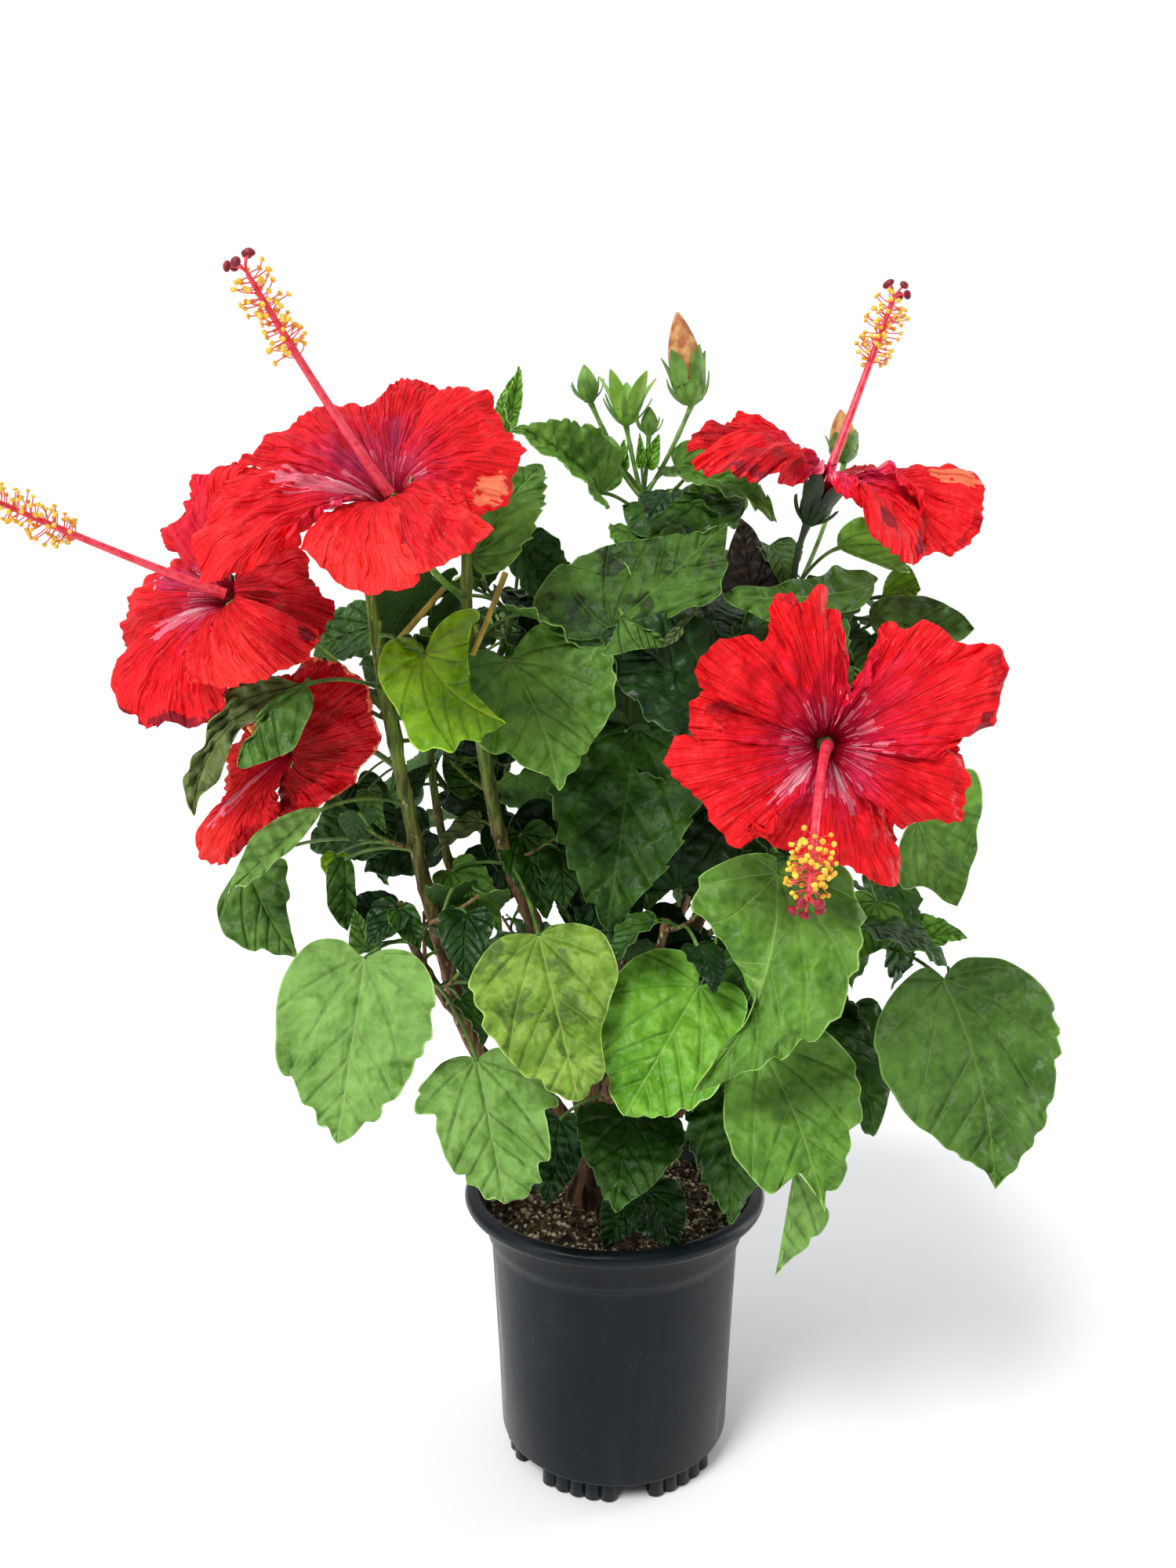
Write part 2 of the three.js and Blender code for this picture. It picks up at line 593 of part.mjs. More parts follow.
function petalSolid(heart, axis, above, beside, [bearing, reach, height, width, twist = PETAL_TILT]) {
  const angle = radians(bearing);
  const out = above.clone().multiplyScalar(Math.cos(angle)).addScaledVector(beside, Math.sin(angle));
  const tilt = radians(twist);
  const across = axis.clone().cross(out).multiplyScalar(Math.cos(tilt));
  across.addScaledVector(axis, Math.sin(tilt));
  const at = (radius, rise) => heart.clone().addScaledVector(out, radius).addScaledVector(axis, rise);
  const middle = new THREE.CubicBezierCurve3(
    at(THROAT_RADIUS, -THROAT_DEPTH),
    at(...THROAT_MOUTH),
    at(PETAL_SWELL.share * reach, PETAL_SWELL.rise + PETAL_SWELL.follow * height),
    at(reach, height),
  );
  const grid = PETAL_ROWS.map(([share, half]) => PETAL_ACROSS.map((side) => {
    const drop = PETAL_ROUNDING * share * side * side;
    const cup = PETAL_CUP * share * side * side;
    const point = middle.getPoint(share - drop);
    return point.addScaledVector(across, half * side * width).addScaledVector(axis, -cup);
  }));
  return sheet(grid, PETAL_THICKNESS);
}

// The column's radius from its foot to its tip: a bare stalk, the brush of stamens, then
// the stigma
const COLUMN_RADII = [2.8, 2.2, 2, 1.9, 1.9, 8, 9, 6, 2.5];
const COLUMN_FOOT = 0.6;

function columnSolid(heart, axis, tip, rise) {
  const foot = heart.clone().addScaledVector(axis, -COLUMN_FOOT * THROAT_DEPTH);
  const bend = foot.clone().lerp(tip, 0.5).addScaledVector(UP, 2 * rise * foot.distanceTo(tip));
  const curve = new THREE.QuadraticBezierCurve3(foot, bend, tip);
  return limb(curve, COLUMN_RADII, STEM_SIDES, COLUMN_RADII.length - 1);
}

function bloomSolid({ heart, axis, columnTip, rise, petals, rootPoint }) {
  const middle = vector(heart);
  const along = vector(axis).normalize();
  const above = UP.clone().addScaledVector(along, -UP.dot(along)).normalize();
  const beside = along.clone().cross(above);
  const calyxFoot = middle.clone().addScaledVector(along, -CALYX_LENGTH);
  const calyx = new THREE.LineCurve3(calyxFoot, middle.clone().addScaledVector(along, -CALYX_DROP));
  const bend = calyxFoot.clone().addScaledVector(along, -PEDICEL_BEND * calyxFoot.distanceTo(rootPoint));
  const stalkEnd = calyxFoot.clone().addScaledVector(along, PEDICEL_SINK);
  const stalk = new THREE.QuadraticBezierCurve3(rootPoint, bend, stalkEnd);
  return fuse([
    ...petals.map((petal) => petalSolid(middle, along, above, beside, petal)),
    columnSolid(middle, along, vector(columnTip), rise),
    limb(calyx, CALYX_RADII, BOUGH_SIDES, CALYX_RADII.length - 1),
    limb(stalk, [PEDICEL_RADIUS, PEDICEL_RADIUS], TWIG_SIDES, 4),
  ]);
}

const BUD_PROFILE = [0.35, 1, 0.85, 0.15];
const BUD_STALK_SAG = 0.1;

function budSolid([foot, tip, radius], rootPoint) {
  const start = vector(foot);
  const end = vector(tip);
  const sag = BUD_STALK_SAG * rootPoint.distanceTo(start);
  const bend = rootPoint.clone().lerp(start, 0.5).addScaledVector(UP, -sag);
  const stalk = new THREE.QuadraticBezierCurve3(rootPoint, bend, start.clone().lerp(end, 0.15));
  const radii = BUD_PROFILE.map((share) => share * radius);
  return [
    limb(stalk, [BUD_STALK_RADIUS, BUD_STALK_RADIUS], PETIOLE_SIDES, TWIG_STEPS),
    limb(new THREE.LineCurve3(start, end), radii, BOUGH_SIDES, radii.length - 1),
  ];
}

// Places already taken, each with its owner, for the rule that nothing may touch
const taken = [];

function take(solid, owner) {
  taken.push({ solid, owner, box: solid.boundingBox() });
}

function isClear(solid, owner) {
  const box = solid.boundingBox();
  const isApart = (other) => [0, 1, 2].some((k) => box.max[k] < other.min[k] || box.min[k] > other.max[k]);
  const others = taken.filter((other) => other.owner !== owner && !isApart(other.box));
  return !others.some((other) => !solid.intersect(other.solid).isEmpty());
}

// The nearest place to a point along some lines, away from the foot of the first one
function nearestOn(lines, point) {
  const foot = lines[0].getPointAt(0);
  const places = lines.flatMap((line) => line.getSpacedPoints(60))
    .filter((place) => place.distanceTo(foot) > ROOT_CLEARANCE);
  return places.reduce((best, place) => (place.distanceTo(point) < best.distanceTo(point) ? place : best));
}

// What the seeded rule draws between: first and last values along a line for the sizes, and
// least and greatest for the angles
const SPIRAL = {
  firstShare: 0.12,
  turn: 137.5,
  turnSpread: 40,
  stalk: [46, 22],
  stalkSpread: [0.75, 1.25],
  outward: 0.85,
  onward: 0.5,
  length: [84, 50],
  lengthSpread: [0.8, 1.2],
  width: 0.84,
  fall: [15, 65],
  fold: [4, 24],
  arch: 0.07,
};

// The leaves that the seeded rule gives to one line: a spiral of them, smaller towards the tip
function seededLeaves(line, count, random) {
  const leaves = [];
  for (let i = 0; i < count; i++) {
    const [turn, stalk, droop, size, crease] = [random(), random(), random(), random(), random()];
    const share = mix(SPIRAL.firstShare, 1, (i + 0.5) / count);
    const root = line.getPointAt(share);
    const along = line.getTangentAt(share);
    const angle = radians(SPIRAL.turn * i + SPIRAL.turnSpread * turn);
    const out = new THREE.Vector3(Math.cos(angle), Math.sin(angle), 0);
    out.addScaledVector(along, -out.dot(along)).normalize();
    const stalkLength = mix(...SPIRAL.stalk, share) * mix(...SPIRAL.stalkSpread, stalk);
    const base = root.clone().addScaledVector(out, SPIRAL.outward * stalkLength);
    base.addScaledVector(along, SPIRAL.onward * stalkLength);
    const flat = new THREE.Vector3(out.x, out.y, 0).normalize();
    const fall = radians(mix(...SPIRAL.fall, droop));
    const length = mix(...SPIRAL.length, share) * mix(...SPIRAL.lengthSpread, size);
    const tip = base.clone().addScaledVector(flat, length * Math.cos(fall));
    tip.addScaledVector(UP, -length * Math.sin(fall));
    leaves.push({
      root,
      base,
      tip,
      width: SPIRAL.width * length,
      facing: THREE.MathUtils.radToDeg(Math.atan2(flat.x, -flat.y)),
      fold: mix(...SPIRAL.fold, crease),
      arch: SPIRAL.arch,
      rows: PLAIN_ROWS,
    });
  }
  return leaves;
}

function insideSpace(point, { middle, half }) {
  const offset = point.clone().sub(vector(middle)).divide(vector(half));
  return offset.length() < 1;
}

// Assembly

const BARK = '#6b4a35';
const GREEN = '#2f7a26';
const RED = '#d3121c';
const shrub = new THREE.Group();
const limbLines = {};

shrub.add(nodeMesh('pot', pot(), '#11151c', 0.25));
shrub.add(nodeMesh('soil', soil(), '#3a2a1f', 0.95));

const trunkLine = lineThrough(TRUNK.points);
const below = new THREE.BoxGeometry(2 * RIM_RADIUS, 2 * RIM_RADIUS, SOIL_LEVEL);
below.translate(0, 0, SOIL_LEVEL / 2 + GAP);
const trunk = limb(trunkLine, TRUNK.radii, TRUNK_SIDES, LIMB_STEPS).subtract(solidOf(below));
shrub.add(nodeMesh('trunk', trunk, BARK, 0.9));
take(trunk, 'trunk');

// Boughs, each seated clear of the trunk and of the boughs before it
const seats = [limb(trunkLine, TRUNK.radii, TRUNK_SIDES, LIMB_STEPS, GAP)];
for (const [name, stem] of Object.entries(STEMS)) {
  const line = lineThrough(stem.points);
  const length = line.getLength();
  const radiusAt = (share) => mix(...stem.radii, share);
  const upper = new CurveShare(line, stem.enters + (stem.enters > 0 ? GAP / length : 0), 1);
  const upperRadii = [radiusAt(stem.enters), radiusAt(1)];
  limbLines[name] = { upper, upperRadii, line };
  if (stem.enters > 0) {
    const lower = new CurveShare(line, 0, stem.enters);
    const lowerRadii = [radiusAt(0), radiusAt(stem.enters)];
    const whole = limb(lower, lowerRadii, BOUGH_SIDES, LIMB_STEPS);
    const bough = seats.reduce((solid, seat) => solid.subtract(seat), whole);
    const seated = largestShell(bough);
    shrub.add(nodeMesh(`${name}_bough`, seated, BARK, 0.85));
    take(seated, `${name}_bough`);
    seats.push(limb(lower, lowerRadii, BOUGH_SIDES, LIMB_STEPS, GAP));
  }
}

// The wood of each mass: its stem and its twigs
const wood = {};
for (const [name, stem] of Object.entries(STEMS)) {
  const { upper, upperRadii } = limbLines[name];
  const lines = [upper];
  const solids = [limb(upper, upperRadii, STEM_SIDES, LIMB_STEPS)];
  const fatSolids = [limb(upper, upperRadii, STEM_SIDES, LIMB_STEPS, GAP)];
  for (const twig of SEEDED_LEAVES[stem.foliage].twigs) {
    const root = upper.getPointAt(twig.at);
    const tip = vector(twig.tip);
    const bend = root.clone().lerp(tip, 0.55).addScaledVector(UP, -TWIG_SAG * root.distanceTo(tip));
    const line = new THREE.QuadraticBezierCurve3(root, bend, tip);
    lines.push(line);
    solids.push(limb(line, TWIG_RADII, TWIG_SIDES, TWIG_STEPS));
    fatSolids.push(limb(line, TWIG_RADII, TWIG_SIDES, TWIG_STEPS, GAP));
  }
  wood[stem.foliage] = { lines, solids, blades: [], fat: fuse(fatSolids) };
  take(fuse(solids), stem.foliage);
}

for (const [name, bloom] of Object.entries(BLOOMS)) {
  const rootPoint = limbLines[bloom.stem].line.getPointAt(bloom.root);
  const { fat } = wood[STEMS[bloom.stem].foliage];
  const solid = largestShell(bloomSolid({ ...bloom, rootPoint }).subtract(fat));
  shrub.add(nodeMesh(name, solid, RED, 0.5));
  take(solid, name);
}

// Leaves grow in two rounds. Those that the front shows come first, so that no seeded leaf
// takes their room. A leaf that would touch a limb, a bloom or another mass is left out.
function grow(leaf, foliage) {
  if (!isClear(leafSolid(leaf, CLEARANCE), foliage)) return false;
  const solid = leafSolid(leaf);
  wood[foliage].solids.push(solid);
  take(solid, foliage);
  return true;
}

for (const [foliage, leaves] of Object.entries(SHOWN_LEAVES)) {
  for (const [base, tip, width, facing, fold, arch, kind] of leaves) {
    const from = vector(base);
    const root = nearestOn(wood[foliage].lines, from.clone().addScaledVector(UP, -ROOT_DROP));
    const rows = kind === 'lobed' ? LOBED_ROWS : OVATE_ROWS;
    const leaf = { root, base: from, tip: vector(tip), width, facing, fold, arch, rows };
    grow(leaf, foliage);
    wood[foliage].blades.push(leafSolid(leaf, CLEARANCE, true));
  }
}

for (const { foliage } of Object.values(STEMS)) {
  const { lines, solids, blades } = wood[foliage];
  const plan = SEEDED_LEAVES[foliage];
  const random = seededRun(plan.seed);
  const counts = [plan.onStem, ...plan.twigs.map((twig) => twig.leaves)];
  const leaves = lines.flatMap((line, k) => seededLeaves(line, counts[k], random));
  for (const leaf of leaves) {
    const blade = leafSolid(leaf, CLEARANCE, true);
    const inside = insideSpace(leaf.base, plan) && insideSpace(leaf.tip, plan);
    if (inside && !blades.some((other) => !blade.intersect(other).isEmpty()) && grow(leaf, foliage)) {
      blades.push(blade);
    }
  }
  for (const bud of BUDS[foliage] ?? []) {
    solids.push(...budSolid(bud, lines[0].getPointAt(BUD_ROOT_SHARE)));
  }
  const mass = largestShell(fuse(solids));
  shrub.add(nodeMesh(foliage, mass, GREEN, 0.6));
}

export default shrub;
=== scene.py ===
# %% [markdown]
# A hibiscus shrub in full flower, in a black nursery pot. The packed part gives every limb,
# bloom and leaf its place. This lesson dresses it: each solid is replaced by a finer surface
# that is worked out from the same numbers, and finer twigs fill the same reach.

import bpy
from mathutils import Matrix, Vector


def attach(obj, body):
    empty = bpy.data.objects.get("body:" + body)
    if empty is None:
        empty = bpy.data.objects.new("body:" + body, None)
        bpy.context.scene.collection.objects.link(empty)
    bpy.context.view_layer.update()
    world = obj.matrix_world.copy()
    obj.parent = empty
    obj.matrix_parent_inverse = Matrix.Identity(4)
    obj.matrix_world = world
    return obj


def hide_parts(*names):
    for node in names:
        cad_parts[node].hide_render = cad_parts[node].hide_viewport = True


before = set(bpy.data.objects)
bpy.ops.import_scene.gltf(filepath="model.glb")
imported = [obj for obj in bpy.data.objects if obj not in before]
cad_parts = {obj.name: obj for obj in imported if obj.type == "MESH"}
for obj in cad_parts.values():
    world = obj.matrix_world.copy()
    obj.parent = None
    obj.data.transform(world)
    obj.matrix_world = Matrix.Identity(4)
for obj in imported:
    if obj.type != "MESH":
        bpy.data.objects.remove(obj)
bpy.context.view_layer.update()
print("solids in the packed part:", len(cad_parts))

# %% [markdown]
# The photograph was taken by hand from just above the crown, a little left of the middle and
# tipped down slightly. A camera with the same place, tilt and lens gives the same overlaps.

# %% Camera
from math import cos, pi, radians, sin

import bpy
import numpy as np

MM = 0.001
PICTURE = (1500, 2000)
SENSOR = 36
LENS = 27
TILT = radians(6.9)
EYE = np.array([-15.0, -640.0, 458.0])


def placed(name, data):
    """A new object in the scene."""
    made = bpy.data.objects.new(name, data)
    bpy.context.scene.collection.objects.link(made)
    return made


camera_data = bpy.data.cameras.new("camera")
camera_data.sensor_width = SENSOR
camera_data.lens = LENS
camera = placed("camera", camera_data)
camera.location = EYE * MM
camera.rotation_euler = (pi / 2 - TILT, 0, 0)
bpy.context.scene.camera = camera
print("camera lens in mm:", camera_data.lens)

# %% [markdown]
# Everything is worked out in millimetres with whole numpy arrays, and turned into metres once,
# where a mesh is made. A line is a curve kept as 201 points with the length run up to each, so
# that a share of its length gives a place and a direction on it.

# %% Lines
SAMPLES = 201
TWIG_SAG = 0.12
UP = np.array([0.0, 0.0, 1.0])
PICTURE_REACH = max(PICTURE) * LENS / SENSOR


def unit(v):
    """Each vector over its own length."""
    return v / np.maximum(np.linalg.norm(v, axis=-1, keepdims=True), 1e-12)


def mix(a, b, t):
    """A value that runs from a to b as t runs from 0 to 1."""
    return a + (b - a) * t


def ease(low, high, t):
    """0 below low, 1 above high, and the cubic 3x^2 - 2x^3 in between."""
    x = np.clip((t - low) / (high - low), 0, 1)
    return x * x * (3 - 2 * x)


def seen_at(readings, depths):
    """Places on the sight lines through columns and rows of the photograph, read by turns from
    a list. Their y goes evenly through the depths from the first place to the last. A sight line
    leaves the eye by the distance from the picture's middle over its reach, and tips down with
    the camera."""
    column, row = np.array(readings, float).reshape(-1, 2).T
    y = np.interp(np.linspace(0, 1, len(row)), np.linspace(0, 1, len(depths)), depths)
    right = (column - PICTURE[0] / 2) / PICTURE_REACH
    above = (PICTURE[1] / 2 - row) / PICTURE_REACH
    ray = np.stack([right, cos(TILT) + above * sin(TILT), above * cos(TILT) - sin(TILT)], -1)
    return EYE + ray * ((y - EYE[1]) / ray[:, 1])[:, None]


class Line:
    """A curve as points with the length run up to each of them."""

    def __init__(self, points):
        self.points = np.asarray(points, float)
        steps = np.linalg.norm(np.diff(self.points, axis=0), axis=1)
        self.run = np.concatenate([[0], np.cumsum(steps)])
        self.length = self.run[-1]

    def at(self, shares):
        """Places at shares of the length, on straight stretches between the kept points."""
        run = np.asarray(shares, float) * self.length
        return np.stack([np.interp(run, self.run, axis) for axis in self.points.T], -1)

    def along(self, shares):
        """Directions there, from two places a thousandth of the length to either side."""
        shares = np.asarray(shares, float)
        return unit(self.at(np.clip(shares + 1e-3, 0, 1)) - self.at(np.clip(shares - 1e-3, 0, 1)))

    def share(self, start, end):
        """The stretch of the line from one share of its length to another."""
        return Line(self.at(np.linspace(start, end, SAMPLES)))


def line_through(points):
    """A smooth line through points: between two of them runs the cubic whose slope at each is
    half the way between the neighbours on both sides of it."""
    p = np.array(points, float)
    p = np.vstack([2 * p[0] - p[1], p, 2 * p[-1] - p[-2]])
    t = np.linspace(0, len(points) - 1, SAMPLES)
    k = np.minimum(t.astype(int), len(points) - 2)
    w = (t - k)[:, None]
    a, b = p[k + 1], p[k + 2]
    leave, arrive = 0.5 * (b - p[k]), 0.5 * (p[k + 3] - a)
    square = 3 * (b - a) - 2 * leave - arrive
    return Line(a + leave * w + square * w**2 + (2 * (a - b) + leave + arrive) * w**3)


def bow(start, bend, end):
    """A line that leaves its start towards `bend` and arrives at its end from there."""
    t = np.linspace(0, 1, SAMPLES)[:, None]
    return Line((1 - t) ** 2 * start + 2 * t * (1 - t) * bend + t * t * end)


def sagging(start, end, share):
    """A twig between two places, which is pulled down at a share of the way by its sag times its
    span."""
    return bow(start, mix(start, end, share) - UP * TWIG_SAG * np.linalg.norm(end - start), end)


def level_way(angle):
    """Level directions, by their angles against the clock from +X."""
    return np.stack([np.cos(angle), np.sin(angle), 0 * angle], -1)


print("a bow of two equal arms is this long:", round(bow(UP * 0, UP, UP + [1, 0, 0]).length, 3))

# %% [markdown]
# A plant is thousands of small closed surfaces. Grids of points describe them all: a tube is a
# grid that closes round, and a leaf or petal is a grid with a skin above and one below. They
# are gathered by kind and become one mesh each, because single objects would be slow to render.

# %% Surfaces
SHARP_ANGLE = 50


def grid_faces(rows, columns, ring=False):
    """Faces of a grid numbered row by row. A ring also joins its last column to its first."""
    i = np.arange(rows - 1)[:, None] * columns
    j = np.arange(columns if ring else columns - 1)[None, :]
    k = (j + 1) % columns
    return np.stack([i + j, i + k, i + k + columns, i + j + columns], -1).reshape(-1, 4)


def repeated(faces, copies, points_each):
    """The faces of one shape for each of its copies, whose points follow one another."""
    return (faces[None] + (np.arange(copies) * points_each)[:, None, None]).reshape(-1, faces.shape[1])


class Gathered:
    """Many closed surfaces of one kind, gathered for a single mesh."""

    def __init__(self):
        self.points, self.faces, self.kinds, self.maps, self.rims = [], [], [], [], []
        self.count = 0

    def add(self, points, faces, surface_map, kinds, rim=0.0):
        """Adds points, lists of faces with a finish number for each list, places on a map, and
        how near each point is to a margin, from 0 to 1."""
        points = points.reshape(-1, 3)
        self.points.append(points)
        self.maps.append(surface_map.reshape(-1, 2))
        self.rims.append(np.broadcast_to(np.ravel(rim), len(points)))
        for group, kind in zip(faces, kinds):
            self.faces.append(group + self.count)
            self.kinds.append(np.broadcast_to(kind, len(group)))
        self.count += len(points)

    def piece(self, name, finishes, slot, *stands_for):
        """One mesh in metres, smooth but for edges sharper than 50 degrees, which rides on the
        plant's one body and stands for the named solids."""
        mesh = bpy.data.meshes.new(name)
        corners = np.concatenate([group.ravel() for group in self.faces])
        sizes = np.concatenate([np.full(len(group), group.shape[1]) for group in self.faces])
        mesh.vertices.add(self.count)
        mesh.vertices.foreach_set("co", (np.concatenate(self.points) * MM).ravel())
        mesh.loops.add(len(corners))
        mesh.loops.foreach_set("vertex_index", corners)
        mesh.polygons.add(len(sizes))
        mesh.polygons.foreach_set("loop_start", np.concatenate([[0], np.cumsum(sizes)[:-1]]))
        mesh.polygons.foreach_set("material_index", np.concatenate(self.kinds))
        mesh.uv_layers.new(name="UVMap")
        mesh.uv_layers["UVMap"].data.foreach_set("uv", np.concatenate(self.maps)[corners].ravel())
        mesh.attributes.new("rim", "FLOAT", "POINT")
        mesh.attributes["rim"].data.foreach_set("value", np.concatenate(self.rims))
        mesh.update(calc_edges=True)
        mesh.shade_smooth()
        mesh.set_sharp_from_angle(angle=radians(SHARP_ANGLE))
        for each in finishes:
            mesh.materials.append(each)
        made = placed(name, mesh)
        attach(made, "root")
        if stands_for:
            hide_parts(*stands_for)
        triangles = int((sizes - 2).sum())
        print(f"{name}: {triangles} triangles")
        return made


print("faces of a 3 by 3 grid:", len(grid_faces(3, 3)))

# %% Sheets
def sheets(grids, thickness, surface_map, gathered, upper, lower, rim=0.0):
    """Closed thin solids from grids of points. Each point moves half the thickness both ways
    along the surface's normal, and a strip closes the margin. Upper and lower skins take the
    finish numbers given for each grid, or for each of its faces, and the strip takes those
    of the faces beside it. Rim is the same on both skins."""
    down_rows = np.gradient(grids, axis=1)
    over_columns = np.gradient(grids, axis=2)
    half = unit(np.cross(over_columns, down_rows)) * thickness / 2
    copies, rows, columns, _ = grids.shape
    each = rows * columns
    points = np.stack([grids + half, grids - half], 1)
    skin = grid_faces(rows, columns)
    index = np.arange(each).reshape(rows, columns)
    margin = np.concatenate([index[0, :-1], index[:-1, -1], index[-1, :0:-1], index[:0:-1, 0]])
    after = np.roll(margin, -1)
    strip = np.stack([after, margin, margin + each, after + each], -1)
    each_face = (copies, rows - 1, columns - 1)
    upper, lower = (np.broadcast_to(kind if np.ndim(kind) == 3 else np.reshape(kind, (-1, 1, 1)), each_face)
                    for kind in (upper, lower))
    beside = np.concatenate([upper[:, 0], upper[:, :, -1], upper[:, -1, ::-1], upper[:, ::-1, 0]], 1)
    maps = np.broadcast_to(surface_map, (copies, rows, columns, 2))
    gathered.add(
        points,
        [repeated(skin, copies, 2 * each), repeated(skin[:, ::-1] + each, copies, 2 * each),
         repeated(strip, copies, 2 * each)],
        np.stack([maps, maps], 1),
        [upper.ravel(), lower.ravel(), beside.ravel()],
        np.broadcast_to(rim, (copies, 2, rows, columns)),
    )


sample = Gathered()
square = np.array([[[[0, 0, 0], [1, 0, 0]], [[0, 1, 0], [1, 1, 0]]]], float)
sheets(square, 0.1, 0.5, sample, 0, 0)
print("points of a closed sheet over one square:", sample.count)

# %% Tubes and grains
BEAD_LATITUDE = 1.25


def rings(points, gathered, kind=0):
    """Closed solids from stacks of rings (solids, rings, sides, 3). Each ring joins the next, and
    a flat face closes both ends. The map runs once round and once along."""
    copies, rows, sides, _ = points.shape
    each = rows * sides
    start = np.arange(sides)[None, ::-1]
    end = np.arange(sides)[None] + each - sides
    places = np.broadcast_arrays(np.arange(sides) / sides, np.linspace(0, 1, rows)[:, None])
    gathered.add(
        points,
        [repeated(faces, copies, each) for faces in (grid_faces(rows, sides, ring=True), start, end)],
        np.broadcast_to(np.stack(places, -1), (copies, rows, sides, 2)), [kind, kind, kind],
    )


def tubes(paths, radii, sides, gathered, kind=0, relief=None):
    """Closed round tubes along paths (tubes, points, 3). Round each point lies a ring whose
    two directions are square to the path, and the ends are closed by flat faces. Relief
    is added to the radius, for each point of each ring."""
    copies, steps, _ = paths.shape
    tangent = unit(np.gradient(paths, axis=1))
    mean = unit(paths[:, -1] - paths[:, 0])
    helper = np.where(np.abs(mean[:, 2:]) > 0.8, [1.0, 0.0, 0.0], [0.0, 0.0, 1.0])
    normal = unit(np.cross(np.broadcast_to(helper[:, None], tangent.shape), tangent))
    binormal = np.cross(tangent, normal)
    angle = 2 * pi * np.arange(sides) / sides
    reach = np.broadcast_to(radii, (copies, steps))[..., None] + (0 if relief is None else relief)
    ring = normal[:, :, None] * np.cos(angle)[:, None] + binormal[:, :, None] * np.sin(angle)[:, None]
    rings(paths[:, :, None] + ring * np.broadcast_to(reach, (copies, steps, sides))[..., None],
          gathered, kind)


def beads(centres, sizes, poles, gathered, kind, levels, sides):
    """Small round grains: rings of latitude round a pole direction, closed by flat faces. Sizes
    give each grain's half length along its pole and its radius."""
    latitude = np.linspace(-BEAD_LATITUDE, BEAD_LATITUDE, levels)
    along = np.sin(latitude)[None, :, None] * sizes[:, 0, None, None] * poles[:, None]
    tubes(centres[:, None] + along, np.cos(latitude) * sizes[:, 1, None], sides, gathered, kind)


sample = Gathered()
tubes(np.array([[UP * 0, UP]]), 1.0, 6, sample)
print("points of a short tube with six sides:", sample.count)

# %% [markdown]
# Shader nodes are easier to read as sums than as a web of boxes. A small wrapper round one
# output of a node lets plain operators add Math nodes, and one method makes any other node.

# %% Shader maths
class Wire:
    """One output of a shader node. Operators on it add Math nodes."""

    def __init__(self, tree, socket):
        self.tree, self.socket = tree, socket

    def node(self, kind, settings, inputs, output=0):
        """Adds a node: its settings come first, then the values or links of its sockets."""
        made = self.tree.nodes.new(kind)
        for key, value in settings.items():
            if key == "stops":
                ramp = made.color_ramp
                while len(ramp.elements) < len(value):
                    ramp.elements.new(0.5)
                for element, (place, colour) in zip(ramp.elements, value):
                    element.position = place
                    element.color = (*colour, 1)
            else:
                setattr(made, key, value)
        for key, value in inputs.items():
            if isinstance(value, Wire):
                self.tree.links.new(value.socket, made.inputs[key])
            else:
                made.inputs[key].default_value = value
        return Wire(self.tree, made.outputs[output])

    def maths(self, operation, *values):
        """One Math node: an operation on values or wires."""
        return self.node("ShaderNodeMath", {"operation": operation}, dict(enumerate(values)))

    def __add__(self, other):
        return self.maths("ADD", self, other)

    def __sub__(self, other):
        return self.maths("SUBTRACT", self, other)

    def __rsub__(self, other):
        return self.maths("SUBTRACT", other, self)

    def __mul__(self, other):
        return self.maths("MULTIPLY", self, other)

    def __truediv__(self, other):
        return self.maths("DIVIDE", self, other)

    def __abs__(self):
        return self.maths("ABSOLUTE", self)

    __radd__ = __add__
    __rmul__ = __mul__

    def least(self, other):
        """The smaller of this and another."""
        return self.maths("MINIMUM", self, other)

    def between(self, low, high):
        """0 at low and 1 at high, smooth and held level beyond them."""
        settings = {"interpolation_type": "SMOOTHSTEP"}
        return self.node("ShaderNodeMapRange", settings, {0: self, 1: low, 2: high, 3: 0.0, 4: 1.0})

    def blend(self, first, second):
        """A colour that runs from the first to the second as this value runs from 0 to 1."""
        settings = {"data_type": "RGBA"}
        colours = [c if isinstance(c, Wire) else (*c, 1) for c in (first, second)]
        return self.node("ShaderNodeMix", settings, {0: self, 6: colours[0], 7: colours[1]}, 2)

    def stretched(self, *scales):
        """This place with each of its axes times a number."""
        return self.node("ShaderNodeVectorMath", {"operation": "MULTIPLY"}, {0: self, 1: scales})

    def noise(self, scale, detail=3.0, distortion=0.0):
        """Cloudy values from about 0.3 to 0.7 round this place."""
        inputs = {"Vector": self, "Scale": scale, "Detail": detail, "Distortion": distortion}
        return self.node("ShaderNodeTexNoise", {}, inputs)

    def cells(self, scale, feature="DISTANCE_TO_EDGE"):
        """Distance to the nearest wall, or centre, of scattered cells."""
        return self.node("ShaderNodeTexVoronoi", {"feature": feature}, {"Vector": self, "Scale": scale})

    def attribute(self, name):
        """A number kept on the points of the mesh."""
        return self.node("ShaderNodeAttribute", {"attribute_name": name}, {}, "Fac")

    def axes(self):
        """The three numbers of this place."""
        made = self.tree.nodes.new("ShaderNodeSeparateXYZ")
        self.tree.links.new(self.socket, made.inputs[0])
        return [Wire(self.tree, output) for output in made.outputs]


print("methods of a wire:", sum(callable(part) for part in vars(Wire).values()))

